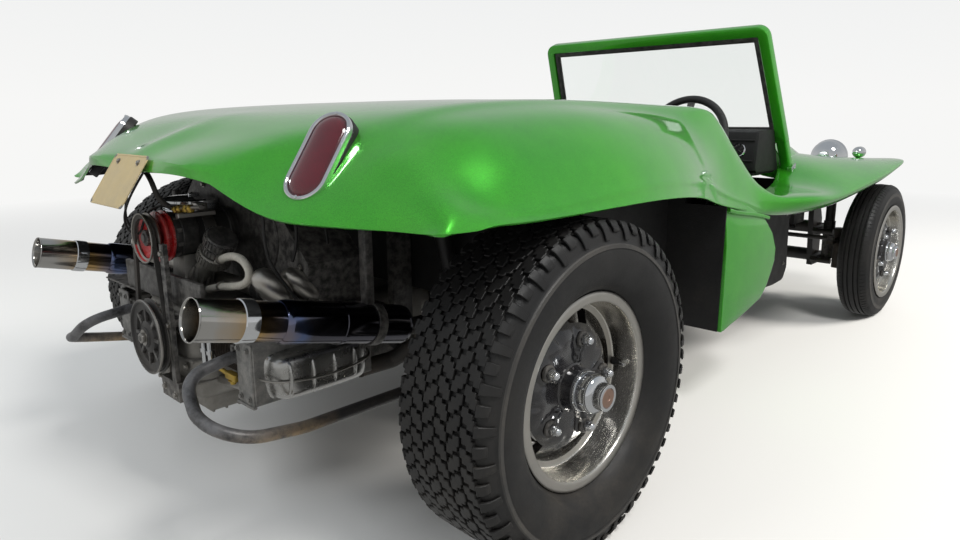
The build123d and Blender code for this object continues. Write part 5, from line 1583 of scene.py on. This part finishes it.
def buildCarburettor():
    x, y = -362, 110
    body = turned([(0, 0), (30, 0), (30, 8), (22, 12), (22, 30), (33, 34), (33, 58), (24, 62), (24, 72), (30, 76),
        (30, 84), (0, 84)], (x, y, 558), (0, 0, 1), 32)
    bowl = block((x - 8, y - 62, 588), (x + 34, y - 24, 628), 6, 3)
    lever = block((x - 26, y + 26, 592), (x - 18, y + 52, 604), 2, 1)
    choke = turned([(0, 0), (18, 0), (18, 16), (12, 20), (0, 20)], (x, y + 34, 622), (0, 1, 0), 24)
    base = block((x - 46, y - 24, 548), (x + 24, y + 24, 560), 4, 2)
    metal = joined([body, bowl, lever, choke, base])
    complete(metal, "carburettor", "engine_alloy", "castAlloy", replaces=("carburettor",))
    runs = bent([(-390, -304, 448), (-390, -292, 540), (-390, 292, 540), (-390, 304, 448)], (36, 36))
    pipe = tube(runs, 16, False, 16)
    boots = [rodBetween((-390, side * 226, 540), (-390, side * 262, 540), 20, 20, 3) for side in (-1, 1)]
    feet = [block((-414, side * 304 - 22, 444), (-366, side * 304 + 22, 452), 3, 2) for side in (-1, 1)]
    complete([pipe, *feet], "inletManifold", "engine_alloy", "satinAlloy")
    complete(boots, "manifoldBoots", "rubber", "rubber")
    rings = [(0, 0), (40, 0), (72, 4), (75, 8), (75, 14), (71, 17)]
    for index in range(9):
        rings += [(71, 18 + index * 4.6), (73.4, 20.2 + index * 4.6)]
    rings += [(71, 60), (75, 63), (75, 69), (72, 73), (30, 76), (6, 77), (0, 77)]
    cleaner = turned(rings, (x, y, 641), (0, 0, 1), 56)
    wing = block((x - 14, y - 3, 716), (x + 14, y + 3, 724), 2, 2)
    complete([cleaner, wing], "airCleaner", "chrome", "chrome")


def ribbedTurn(radius, low, high, count, place, direction):    # cap with ribs down its side
    cap = turned([(0, low), (radius - 3, low), (radius - 1.5, low + 1.5), (radius - 1.5, high - 4),
        (radius - 5, high), (0, high + 1)], place, direction, 48)
    frameAt = facingMatrix(place, direction)
    ribs = []
    for index in range(count):
        rib = primitive("cube", size=1)
        wide = 2 * pi * radius / count * 0.55
        rib.data.transform(Matrix.Diagonal((3.4 / 1000, wide / 1000, (high - low - 6) / 1000, 1)))
        rib.data.transform(Matrix.Translation((radius / 1000 - 0.0012, 0, (low + high) / 2000)))
        rib.data.transform(Matrix.Rotation(2 * pi * index / count, 4, "Z"))
        rib.data.transform(frameAt)
        ribs.append(rib)
    return joined([cap, *ribs])


def buildOilFiller():
    neck = tube(((-436, -10, 520), (-434, -40, 548), (-430, -70, 572), (-424, -96, 596)), 20, True, 16,
        radii=[1.3, 1.2, 1.0, 1.0])
    ribs = [tube([(-434 + cos(a) * 24, -36 + sin(a) * 24, 520), (-428 + cos(a) * 22, -66 + sin(a) * 20, 576)], 3.4,
        False, 8) for a in [index * pi / 5 for index in range(10)]]
    neck = joined([neck, *ribs])
    lean = (0.04, -0.62, 0.78)
    base = ribbedTurn(38, 0, 26, 30, spot(-423, -98, 592), lean)
    lower = ribbedTurn(32, 0, 22, 24, spot(-421.6, -115, 613), lean)
    cap = ribbedTurn(36, 0, 24, 28, spot(-420.6, -130, 632), lean)
    complete([neck, base], "oilFiller", "engine_alloy", "castAlloy", replaces=("oil_filler",))
    complete([lower, cap], "oilFillerCaps", "rubber", "satinBlack")
    route = [(-426, -118, 590), (-434, -160, 604), (-440, -216, 622), (-440, -270, 622), (-440, -303, 598),
        (-440, -284, 570), (-440, -225, 553), (-440, -160, 545), (-444, -110, 530)]
    breather = tube(route, 8.5, True, 12)
    ends = [turned([(8, 0), (11, 0), (11, 9), (8, 9), (8, 0)], place, way, 20) for place, way in (((-435, -158, 603),
        (-0.1, -1, 0.35)), ((-440, -168, 546), (0, 1, -0.15)))]
    complete(breather, "breatherHose", "bare_steel", "braid")
    complete(ends, "breatherClips", "bare_steel", "steel")


def buildShroudTrim():                 # rolled seams and bolts on the fan housing
    seam = turned([(168, 0), (172, 1), (172, 5), (168, 6), (168, 0)], (-262, 0, engine["generatorZ"]), (1, 0, 0), 96)
    bolts = [boltHead((-331, y, z), (-1, 0, 0), 9, 5) for y, z in ((-290, 530), (290, 530), (-310, 590), (310, 590),
        (-120, 742), (120, 742))]
    ribs = []
    for side in (-1, 1):
        ribs.append(tube([(-331, side * y, z) for y, z in ((120, 520), (210, 560), (262, 640),
            (190, 716))], 3.5, True, 8))
    complete([seam, *ribs], "shroudSeams", "black_paint", "satinBlack")
    complete(bolts, "shroudBolts", "bare_steel", "steel")


buildCrankPulley()
buildGeneratorPulley()
buildBelt()
buildGenerator()
buildEngine()
buildTinware()
buildRockerCovers()
buildCarburettor()
buildOilFiller()
buildShroudTrim()
print("engine built")

outside = {
    "lampLong": 190.0,
    "lampWide": 88.0,
    "lampProud": 11.0,
}


def buildExhausts():                   # left side modelled, right side mirrored
    lean = atan2(568 - 458, 645 - 177)
    start, way = (-644.3 + 39 * sin(lean), 450, 568), (cos(lean), 0, -sin(lean))
    tip = turned([(37, 0.4), (38, -0.6), (39.4, -0.4), (39.8, 1), (38.8, 2.2), (38.9, 92), (39.6, 94), (39.6, 101),
        (38.6, 103), (38.6, 170), (36, 170), (36, 4), (37, 0.4)], start, way, 64)
    ring = turned([(38.4, 84), (41, 86), (41.4, 92), (41.4, 106), (41, 112), (38.4, 114), (38.4, 84)], start, way, 64)
    body = turned([(30, 168), (39, 168), (42, 174), (43, 182), (43, 462), (41, 472), (34, 480), (0, 481), (0, 474),
        (30, 470), (30, 168)], start, way, 56)
    seam = turned([(42.6, 300), (44.4, 302), (44.4, 310), (42.6, 312), (42.6, 300)], start, way, 56)
    header = tube(bent([(-185, 450, 459), (-120, 450, 445), (-90, 430, 400), (-130, 360, 345), (-205, 322, 330)],
        (26, 26, 26)), 20, False, 16)
    flange = block((-214, 296, 318), (-204, 348, 344), 3, 2)
    flange = joined([flange, boltHead((-204, 304, 331), (1, 0, 0), 8, 5), boltHead((-204, 340, 331),
        (1, 0, 0), 8, 5)])
    clamp = turned([(43, 380), (46, 380), (46, 400), (43, 400), (43, 380)], start, way, 48)
    hanger = block((-272, 438, 505), (-252, 462, 700), 3, 2)
    table = [(joined([tip, body, seam]), "TailPipe", "heated", "exhaust_"), (ring, "TailRing", "chrome", None),
        (joined([header, flange]), "Header", "castIron", None), (joined([clamp, hanger]), "ExhaustClamp",
        "satinBlack", None)]
    for piece, label, finish, node in table:
        twin = twinOf(piece)
        for side, obj in (("left", piece), ("right", twin)):
            complete(obj, side + label, "bare_steel", finish, replaces=(node + side,) if node else ())


def buildBumper():
    route = [(-465, 278, 424), (-587, 283, 406), (-602, 353, 355), (-596, 456, 327), (-423, 440, 297),
        (-40, 447, 300), (-20, 300, 300), (-20, 226, 330)]
    loop = tube(bent(route, (60, 60, 88, 150, 60, 40)), 12.7, False, 18)
    foot = block((-478, 258, 404), (-462, 298, 444), 3, 2)
    bolt = boltHead((-478, 278, 437), (-1, 0, 0), 9, 5)
    complete(fullMirror(loop), "rearBumper", "bare_steel", "bumperTube", replaces=("rear_bumper",))
    complete(fullMirror(joined([foot, bolt])), "bumperFeet", "bare_steel", "satinBlack")


def buildPlate():                      # blank, with a raised rim, on two spacers
    top, foot = Vector((-534, 0, 826)), Vector((-602, 0, 722))
    up = (top - foot).normalized()
    facing = Vector((-up.z, 0, up.x))
    middle = (top + foot) / 2
    wide, high = 92.0, 62.0

    def ringAt(inset, out):
        a, b, corner = wide - inset, high - inset, 8.0
        ring = []
        for sx, sy, start in ((1, 1, 0), (-1, 1, 90), (-1, -1, 180), (1, -1, 270)):
            for step in range(5):
                turn = radians(start + step * 22.5)
                y = sx * (a - corner) + cos(turn) * corner
                h = sy * (b - corner) + sin(turn) * corner
                ring.append(spot(*(middle + up * h + Vector((0, y, 0)) + facing * out)))
        return ring

    shape = [ringAt(1.5, 0.2), ringAt(0, 0.8), ringAt(0, 2.8), ringAt(1, 3.4), ringAt(3.2, 3.4), ringAt(4.2, 2.4)]
    plate = lofted(shape)
    holders = [block((-542, y - 9, 798), (-508, y + 9, 811), 2, 1) for y in (-55, 55)]
    place = middle + facing * 2.4 + up * 44
    bolts = [boltHead(tuple(place + Vector((0, y, 0))), tuple(facing), 8, 3) for y in (-55, 55)]
    rim = lambda face: 1 if face.area < 0.00012 else 0
    complete(plate, "numberPlate", "plate", "plate", "steel", pick=rim, replaces=("number_plate",))
    complete(holders, "plateSpacers", "black_paint", "satinBlack")
    complete(bolts, "plateBolts", "bare_steel", "steel")


def lampFrame(side):
    along = Vector((111, side * -24.5, 143.5)).normalized()
    across = Vector((0.36, side * 0.93, 0))
    facing = across.cross(along) * side
    if facing.x > 0:
        facing = -facing
    across = along.cross(facing).normalized()
    return Vector((-406, side * 520, 834)), along, across, facing.normalized()


def lampRing(side, grow, out, count=20):
    middle, along, across, facing = lampFrame(side)
    radius = outside["lampWide"] / 2 + grow
    straight = (outside["lampLong"] - outside["lampWide"]) / 2
    ring = []
    for end in (1, -1):
        for step in range(count):
            turn = pi * (step / (count - 1)) - pi / 2
            a = end * (straight + cos(turn) * radius)
            b = end * sin(turn) * radius
            ring.append(spot(*(middle + along * a + across * b + facing * out)))
    return ring


def buildTailLamps():
    p = outside["lampProud"]
    for side, word in ((1, "Left"), (-1, "Right")):
        bezel = lofted([lampRing(side, g, o) for g, o in ((-2, -22), (0, -20), (0.2, p - 6), (-0.8, p - 1.6), (-3, p),
            (-6.5, p), (-8.4, p - 1.6), (-9.4, p - 5), (-9.4, p - 9))], caps=False)
        if sum(face.normal.dot(lampFrame(side)[3]) * face.area for face in bezel.data.polygons) < 0:
            bezel.data.flip_normals()
        modify(bezel, "SOLIDIFY", thickness=0.0012, offset=-1.0)
        gasket = lofted([lampRing(side, g, o) for g, o in ((0, -24), (2.4, -22), (2.6, -4), (1.4, -1), (-1, -1))])
        lens = lofted([lampRing(side, g, o) for g, o in ((-9, p - 12), (-9.3, p - 5), (-12, p - 2), (-18, p + 1.2),
            (-26, p + 3.2), (-34, p + 4.2), (-41, p + 4.6))])
        middle, along, across, facing = lampFrame(side)
        screws = []
        for end in (1, -1):
            place = middle + along * end * (outside["lampLong"] / 2 - 5) + facing * (p - 0.2)
            screws.append(turned([(0, 0), (3.6, 0), (3.2, 1.2), (2, 2), (0, 2.2)], spot(*place), facing, 16))
        names = ("tail_lamps",) if side == 1 else ()
        complete(lens, "tailLamp" + word + "Lens", "lamp_red", "redGlass", replaces=names)
        complete([bezel, *screws], "tailLamp" + word + "Bezel", "chrome", "chrome")
        complete(gasket, "tailLamp" + word + "Gasket", "rubber", "rubber")


def buildFrontLamps():                 # bowls, rims and glasses, with the bullet lamps beside them
    for side, word in ((1, "Left"), (-1, "Right")):
        place = spot(2635, side * 400, 702)
        bowl = turned([(0, -80), (22, -79), (43, -72), (60, -60), (72, -44), (79, -24), (81.5, -4), (82.6, 2),
            (84.4, 4), (85, 8), (85, 16), (83, 21), (79, 24), (76, 24.6), (75, 22), (73, 20), (0, 20)],
            place, (1, 0, 0), 64)
        glass = turned([(0, 26), (30, 25.4), (52, 23.6), (68, 20.6), (75.4, 17.4), (75.4, 14), (0, 14)],
            place, (1, 0, 0), 56)
        stalk = turned([(0, -118), (26, -118), (26, -104), (16, -98), (13, -84), (13, -60), (0, -60)],
            place, (0, 0, 1), 32)
        stalk.data.transform(Matrix.Translation((-0.012, 0, 0.022)))
        names = ("front_lamps",) if side == 1 else ()
        complete(bowl, "headlamp" + word + "Bowl", "chrome", "chrome", replaces=names)
        complete(glass, "headlamp" + word + "Glass", "glass", "lampGlass")
        complete(stalk, "headlamp" + word + "Stalk", "black_paint", "satinBlack")
        place = spot(2490, side * 575, 734)
        small = turned([(0, -26), (10, -24), (18, -19), (23.4, -11), (25.6, -2), (26, 6), (26, 28), (25, 31),
            (22, 32), (0, 32)], place, (1, 0, 0), 40)
        lens = turned([(0, 41), (9, 40), (16, 37.4), (20.6, 33), (21, 30), (0, 30)], place, (1, 0, 0), 32)
        stem = turned([(0, -46), (17, -46), (16, -40), (9, -36), (8, -20), (0, -20)], place
            + Vector((0.015, 0, 0)), (0, 0, 1), 24)
        complete([small, stem], "indicator" + word, "chrome", "chrome")
        complete(lens, "indicator" + word + "Lens", "glass", "amber")


def buildBayPieces():                  # pipes, wires and fittings that show under the tail
    plump = [(0, 0), (12, 2), (21, 10), (27, 26), (29, 46), (28, 66), (23, 84), (14, 95), (0, 98)]
    first = turned(plump, (-440, -318, 598), (0.7, -0.05, -0.7), 32)
    second = turned([(r * 0.86, h * 1.05) for r, h in plump], (-372, -312, 590), (0.7, -0.05, -0.68), 32)
    feet = [tube(line, 13, True, 12) for line in (((-380, -320, 540), (-366, -322, 520), (-362, -322, 486)),
        ((-308, -318, 530), (-294, -320, 512), (-290, -320, 486)))]
    bulged = joined([first, second, *feet])
    complete(fullMirror(bulged), "inletElbows", "engine_alloy", "satinAlloy")
    lines = [
        ("throttleCable", 3.4, "rubber", [(-429, -345, 716), (-430, -345, 667), (-424, -342, 629), (-404, -344, 590),
                                          (-376, -350, 548), (-352, -352, 508), (-340, -348, 488)]),
        ("coilLead", 3.6, "rubber", [(-333, -300, 700), (-327, -302, 668), (-334, -306, 630), (-344, -300, 604)]),
        ("plugLead", 3.6, "rubber", [(-263, -300, 690), (-253, -302, 640), (-258, -306, 590), (-280, -312, 540),
                                     (-292, -316, 488)]),
        ("plateLead", 2.6, "rubber", [(-520, -10, 790), (-536, 30, 744), (-544, 66, 700), (-540, 84, 664),
                                      (-530, 60, 640), (-520, 36, 652), (-516, 30, 690), (-508, -20, 720),
                                      (-470, -60, 716)]),
        ("earthLead", 2.6, "rubber", [(-516, 40, 796), (-530, 76, 740), (-536, 92, 690), (-528, 84, 656),
                                      (-512, 70, 640), (-480, 58, 640)]),
        ("fuelHose", 6.0, "belt", [(-514, -8, 788), (-518, -44, 772), (-512, -40, 744), (-500, -38, 722),
                                   (-470, -30, 706)]),
    ]
    for name, radius, finish, points in lines:
        complete(tube(points, radius, True, 8), name, "rubber", finish)
    fittings = [turned([(0, 0), (9, 0), (9, 7), (6, 9), (6, 18), (10, 20), (10, 29), (5, 32), (0, 32)], place, way, 6)
        for place, way in (((-472, -38, 706), (0, -1, 0.1)), ((-472, -92, 712), (0, -1, 0.1)))]
    rail = rodBetween((-472, -30, 706), (-472, -170, 722), 4.5, 14)
    saddle = block((-486, -84, 690), (-400, -70, 702), 2, 1)
    complete(fittings, "fuelFittings", "bare_steel", "brass")
    complete([rail, saddle], "fuelRail", "bare_steel", "steel")
    rods = []
    for x, y in ((-484, -148), (-484, -178)):
        rods.append(rodBetween((x, y, 372), (x, y, 448), 6.4, 20, 1.5))
        rods.append(turned([(0, 0), (9, 0), (9, 9), (0, 9)], (x, y, 404), (0, 0, 1), 20))
    complete(rods, "oilPipes", "chrome", "chrome")
    tee = [block((-486, -284, 366), (-470, -240, 382), 3, 2), rodBetween((-478, -240, 374),
        (-478, -186, 378), 5, 16, 1)]
    tee.append(boltHead((-478, -262, 366), (0, 0, -1), 12, 8))
    complete(tee, "oilUnion", "bare_steel", "brass")
    bolts = [boltHead((-530, -86, z), (-1, 0, 0), 10, 5) for z in (298, 460, 620)]
    bolts.append(boltHead((-530, -32, 306), (-1, 0, 0), 10, 5))
    complete(bolts, "bracketBolts", "bare_steel", "steel")


buildExhausts()
buildBumper()
buildPlate()
buildTailLamps()
buildFrontLamps()
buildBayPieces()
print("exhausts, bumper, plate, lamps and pipes built")

seats = {
    "voxel": 0.006,                    # metres between the fabric's points
    "pressure": 4.0,
    "limit": 0.012,                    # how far a point may move
    "frames": 20,
    "pleat": 46.0,
    "groove": 3.6,
}


def inflate(obj, fixed):               # the cover is blown up as cloth, what rests on the shell stays flat
    modify(obj, "REMESH", mode="VOXEL", voxel_size=seats["voxel"])
    start = [vertex.co.copy() for vertex in obj.data.vertices]
    group = obj.vertex_groups.new(name="resting")
    group.add([vertex.index for vertex in obj.data.vertices if fixed(vertex.co)], 1.0, "REPLACE")
    selectOnly(obj)
    cloth = obj.modifiers.new("cloth", "CLOTH")
    cloth.settings.use_pressure = True
    cloth.settings.uniform_pressure_force = seats["pressure"]
    cloth.settings.effector_weights.gravity = 0.0
    cloth.settings.vertex_group_mass = group.name
    cloth.point_cache.frame_start = 1
    cloth.point_cache.frame_end = seats["frames"]
    for number in range(1, seats["frames"] + 1):
        bpy.context.scene.frame_set(number)
    bpy.ops.object.modifier_apply(modifier=cloth.name)
    for vertex, before in zip(obj.data.vertices, start):
        moved = vertex.co - before
        if moved.length > seats["limit"]:
            vertex.co = before + moved.normalized() * seats["limit"]
    obj.vertex_groups.clear()
    bpy.context.scene.frame_set(1)
    modify(obj, "SUBSURF", levels=1)


def buildPad(middle, along, across, size, corner):    # size in mm: length, width, thickness
    a, b = Vector(along).normalized(), Vector(across).normalized()
    n = a.cross(b)
    if n.z + n.x < 0:
        n = -n
    long, wide, thick = size
    lay = lambda x, y, h: spot(*(Vector(middle) + a * x + b * y + n * h))
    corners = [(-long / 2, -wide / 2), (long / 2, -wide / 2), (long / 2, wide / 2), (-long / 2, wide / 2)]
    rings = []
    for inset, height in ((16, -0.5), (5, -0.46), (0, -0.34), (-1, 0.0), (0, 0.3), (5, 0.44), (15, 0.5),
            (42, 0.57), (80, 0.61)):
        rings.append([lay(x, y, height * thick) for x, y in loopPoints(corners, inset + 5, (corner,) * 4, 7)])
    pad = lofted(rings)
    low = spot(*middle)
    inflate(pad, lambda place: (place - low).dot(n) * 1000 < -thick * 0.4)
    # sewn pleats inside a border seam
    seam = 46.0
    for vertex in pad.data.vertices:
        offset = (vertex.co - low) * 1000
        x, y, height = offset.dot(a), offset.dot(b), offset.dot(n)
        if height < thick * 0.2:
            continue
        toBorder = min(long / 2 - seam - abs(x), wide / 2 - seam - abs(y))
        depth = exp(-(toBorder / 3.4) ** 2)
        if toBorder > 0:
            nearest = (y / seats["pleat"] - math.floor(y / seats["pleat"]) - 0.5) * seats["pleat"]
            share = nearest / (seats["pleat"] / 2)
            depth = max(depth, exp(-((seats["pleat"] / 2 - abs(nearest)) / 3.4) ** 2)) - 0.35 * (1 - share ** 2)
        vertex.co -= n * depth * seats["groove"] / 1000
    rim = []
    for x, y in loopPoints(corners, 3, (corner,) * 4, 7):
        place, normal = pad.closest_point_on_mesh(lay(x, y, thick * 0.42))[1:3]
        rim.append(place + normal * 0.0012)
    piping = tube(rim, 3.4, False, 8, cyclic=True)
    return pad, piping


def finishPads(name, pad, piping, nodes):
    twin, twinPiping = twinOf(pad), twinOf(piping)
    for side, cover, cord in (("Left", pad, piping), ("Right", twin, twinPiping)):
        complete(cover, name + side, "seat_trim", "vinyl", smooth=60)
        complete(cord, name + side + "Piping", "seat_trim", "satinBlack", smooth=60)
    for obj, node in zip((pad, twin), nodes):
        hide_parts(node)


def buildFrontSeats():
    pad, piping = buildPad((1036, 285, 342), (405, 0, 40), (0, 1, 0), (384, 352, 78), 60)
    finishPads("seatBase", pad, piping, ())
    pad, piping = buildPad((717, 285, 600), (-115, 0, 457), (0, 1, 0), (436, 352, 78), 90)
    finishPads("seatBack", pad, piping, ("front_seat_left", "front_seat_right"))
    wing = [(704, 250), (1188, 250), (1236, 366), (1230, 392), (1120, 372), (880, 344), (826, 400), (722, 836),
        (690, 852), (622, 856), (604, 832), (692, 308)]
    radii = (14, 30, 24, 14, 40, 60, 60, 40, 20, 14, 12, 30)
    pieces = []
    for low in (87, 465):
        rings = []
        for inset, y in ((5, low), (1.4, low + 1.6), (0, low + 5), (0, low + 12), (1.4, low + 16), (5, low + 18)):
            rings.append([(x, y, z) for x, z in loopPoints(wing, inset, radii, 5)])
        pieces.append(lofted(rings))
    back = []
    for x, z in ((700, 252), (692, 308), (664, 470), (634, 640), (604, 824), (616, 850)):
        back.append([(px, y, z) for px, y in loopPoints([(x, 100), (x + 16, 100), (x + 16, 470), (x, 470)], 0,
            (4, 4, 4, 4), 4)])
    pieces.append(lofted(back))
    pieces.append(block((702, 100, 250), (1196, 470, 302), 10, 3))
    pieces += [block((740, y, 246.4), (1180, y + 26, 254), 2, 1) for y in (120, 424)]
    completeBoth(joined(pieces), "seatShell", "seat_trim", "tubBlack", smooth=40)


def buildBench():
    pad, piping = buildPad((326, 236, 527), (250, 0, 25), (0, 1, 0), (262, 446, 76), 46)
    finishPads("benchBase", pad, piping, ("rear_bench",))
    pad, piping = buildPad((127, 236, 712), (-50, 0, 305), (0, 1, 0), (296, 446, 74), 50)
    finishPads("benchBack", pad, piping, ())
    base = block((76, -466, 471), (456, 466, 494), 8, 3)
    front = block((436, -466, 474), (460, 466, 540), 8, 3)
    board = []
    for x, z in ((68, 560), (68, 700), (70, 846), (82, 874)):
        board.append([(px, y, z) for px, y in loopPoints([(x, -466), (x + 22, -466), (x + 22, 466), (x, 466)], 0,
            (6, 6, 6, 6), 4)])
    complete([base, front, lofted(board)], "benchFrame", "seat_trim", "tubBlack", smooth=40)


wheelHand = {
    "centre": (1250, -340, 817),
    "radius": 155.0,
    "drop": 20.0,
}


def buildSteeringWheel():
    drop = radians(wheelHand["drop"])
    axis = Vector((cos(drop), 0, -sin(drop)))
    place = spot(*wheelHand["centre"])
    rim = primitive("torus", major_radius=wheelHand["radius"] / 1000, minor_radius=0.013, major_segments=120,
        minor_segments=20)
    for vertex in rim.data.vertices:   # finger grips on the inside and the sewn seam
        turn = atan2(vertex.co.y, vertex.co.x)
        inward = wheelHand["radius"] / 1000 - hypot(vertex.co.x, vertex.co.y)
        if inward > 0.004:
            vertex.co.x *= 1 + 0.008 * (0.5 + 0.5 * cos(turn * 40))
            vertex.co.y *= 1 + 0.008 * (0.5 + 0.5 * cos(turn * 40))
    rim.data.transform(facingMatrix(place, axis))
    stitches = turned([(141.6, -1.4), (140.6, 0), (141.6, 1.4), (144, 0), (141.6, -1.4)], place, axis, 90)
    spokes, bolts = [], []
    for turn in (90, 210, 330):
        rings = []
        for reach, half, high in ((24, 17, 2), (50, 14.5, 2.5), (90, 12.5, 3), (128, 12.5, 3), (149, 15, 3)):
            section = [(-half, -high), (half, -high), (half, high), (half - 3.5, high), (half - 5, high - 1.8),
                (5 - half, high - 1.8), (3.5 - half, high), (-half, high)]
            rings.append([Vector((reach / 1000, y / 1000, z / 1000)) for y, z in section])
        spoke = lofted(rings)
        spoke.data.transform(facingMatrix(place, axis, turn))
        spokes.append(spoke)
    hub = turned([(0, 12), (30, 12), (33, 8), (33, -2), (28, -6), (28, -14), (0, -14)], place, -axis, 48)
    boss = turned([(0, -70), (22, -70), (27, -60), (28, -10), (0, -10)], place, -axis, 40)
    button = turned([(0, 25), (10, 24.4), (17, 22), (21, 18), (22, 12), (0, 12)], place, -axis, 40)
    for step in range(6):
        arm = Matrix.Rotation(step * pi / 3, 4, "Z") @ Vector((0.0275, 0, 0.012))
        bolts.append(turned([(0, 0), (3, 0), (3, 2.4), (2.2, 3), (0, 3)],
            facingMatrix(place, -axis) @ arm, -axis, 12))
    complete(rim, "steeringWheelRim", "black_paint", "wheelGrip", body="steering_wheel", smooth=60,
        replaces=("steering_wheel",))
    complete(stitches, "steeringWheelSeam", "black_paint", "satinBlack", body="steering_wheel")
    complete([*spokes, hub, boss], "steeringWheelSpokes", "black_paint", "satinBlack", body="steering_wheel")
    complete(button, "hornButton", "black_paint", "glossBlack", body="steering_wheel")
    complete(bolts, "steeringWheelBolts", "chrome", "polished", body="steering_wheel")


def buildControls():                   # gear lever with its boot, handbrake and pedals
    lever = rodBetween((1474, 0, 396), (1422, 0, 686), 6, 20, 1)
    collar = turned([(0, 0), (12, 0), (12, 6), (8, 12), (0, 12)], (1425, 0, 672), (-52, 0, 290), 24)
    knob = turned([(0, -22), (9, -21), (17, -15), (21.4, -5), (21.6, 4), (18, 14), (11, 20), (0, 22)], (1420, 0, 705),
        (-52, 0, 290), 36)
    boot = []
    for step in range(11):
        share = step / 10
        radius = 46 - 36 * share ** 0.7 + (2.6 if step % 2 else 0)
        boot.append([(1480 - 9 * share + cos(t) * radius, sin(t) * radius, 376 + 54 * share)
            for t in [index * pi / 14 for index in range(28)]])
    boot = lofted(boot)
    plate = block((1424, -58, 372), (1538, 58, 378), 2, 2)
    brake = rodBetween((1334, 0, 388), (1240, 0, 408), 9, 24, 1)
    grip = turned([(0, 0), (13, 0), (14, 4), (12.4, 12), (14, 24), (12.4, 36), (14, 48), (12.4, 60), (14, 72),
        (12.4, 84), (14, 96), (13.4, 112), (10, 116), (0, 117)], (1238, 0, 408.4), (-98, 0, 21), 28)
    pin = rodBetween((1126, 0, 432.4), (1116, 0, 434.4), 5, 16, 1)
    saddle = block((1300, -18, 374), (1352, 18, 400), 4, 2)
    complete([lever, brake, pin], "levers", "chrome", "chrome", replaces=("floor_controls",))
    complete([knob, grip, collar, saddle, plate], "leverGrips", "black_paint", "satinBlack")
    complete(boot, "leverBoot", "rubber", "rubber", smooth=30)
    stems, pads = [], []
    for y, half in ((-440, 24), (-370, 24), (-290, 22)):
        stems.append(tube([(1782, y, 249), (1772, y, 320), (1750, y, 392), (1744, y, 424)], 6, True, 12))
        stems.append(block((1768, y - 16, 247), (1800, y + 16, 258), 2, 1))
        pad = [block((-5, -half, -30), (5, half, 30), 3, 2)]
        pad += [block((-8, 4 - half, z - 1.6), (-4, half - 4, z + 1.6), 0.8, 1) for z in (-21, -12.5,
            -4, 4.5, 13, 21.5)]
        pads.append(centred(joined(pad), Matrix.Rotation(radians(-15), 4, "Y"), Matrix.Translation(spot(1738, y, 440))))
    complete(stems, "pedalArms", "black_paint", "satinBlack")
    complete(pads, "pedalPads", "rubber", "rubber")


trims = {
    "thick": 2.4,
    # x, half width at the floor's side wall, then the edge under the body: half width, height
    "rows": [(882, 540.6, 668, 715), (952, 540.6, 664, 712), (1005, 540.6, 664, 700), (1085, 540.6, 660, 676),
             (1160, 540.6, 664, 652), (1255, 540.6, 650, 634), (1335, 540.6, 630, 634), (1415, 540.6, 610, 634),
             (1500, 540.6, 600, 634), (1600, 511.8, 580, 643), (1700, 483.1, 560, 676), (1800, 454.3, 530, 718),
             (1860, 437.1, 515, 722)],
    "plate": [(476.6, 405), (476.6, 496.4), (760, 496.4), (760, 480)],
    "ribs": 12,
}


def buildTrims():                      # panels from the floor's walls up to the body, and mats behind the front seats
    rows = [[(x, foot, 530), (x, foot, 560), (x, foot * 0.4 + edge * 0.6, 562 + (high - 560) * 0.45), (x, edge, high)]
        for x, foot, edge, high in trims["rows"]]
    panel = lofted(rows, ringClosed=False)
    modify(panel, "SOLIDIFY", thickness=trims["thick"] / 1000, offset=0.0)
    studs = [boltHead((x, foot - 1.3, 548), (0, -1, 0), 6, 2.5) for x, foot, *_ in trims["rows"][1:-1:2]]
    left = joined([panel, *studs])
    complete([left, twinOf(left)], "sideTrims", "tub_black", "tubBlack", smooth=40)
    corners = trims["plate"]
    plate = lofted([[(x, y, z) for x, y in corners] for z in (248.1, 250.5)])
    mat = [block((484, 84, 250.5), (686, 488, 254), 1.2, 1)]
    for step in range(trims["ribs"]):
        y = 100 + step * 372 / (trims["ribs"] - 1)
        mat.append(block((498, y - 5, 253), (672, y + 5, 256.4), 1.2, 1))
    screws = [boltHead((x, 490, 250.5), (0, 0, 1), 6, 2.5) for x in (500, 600, 720)]
    plates = joined([plate, *screws])
    mats = joined(mat)
    complete([plates, twinOf(plates)], "wellPlates", "tub_black", "tubBlack", smooth=40)
    complete([mats, twinOf(mats)], "rearMats", "rubber", "rubber", smooth=40)


buildFrontSeats()
buildBench()
buildSteeringWheel()
buildControls()
buildTrims()
print("seats, steering wheel, controls and trims built")

carried = {                            # what stays as the part has it, and its finish
    "tubBlack": ["rear_tub", "floor_pan", "nose_tray"],
    "satinBlack": ["rear_frame", "front_beam", "frame_head", "track_rod", "pitman_arm", "steering_column",
                   "shock_absorbers", "fuel_tank", "fan_shroud", "engine_bracket"],
    "castIron": ["knuckle_left", "knuckle_right"],
    "castAlloy": ["transaxle"],
}


def finishCarried():
    given = set()
    for finish, names in carried.items():
        for name in names:
            obj = frame["nodes"][name]
            while len(obj.material_slots) == 0:
                obj.data.materials.append(finishes[finish])
            for slot in obj.material_slots:
                slot.link = "OBJECT"
                slot.material = finishes[finish]
            given.add(name)
    for name, obj in frame["nodes"].items():
        if name not in given:
            for slot in obj.material_slots:
                slot.link = "OBJECT"
                slot.material = finishes["satinBlack"]
    print("carried-over nodes finished:", len(given))


finishCarried()
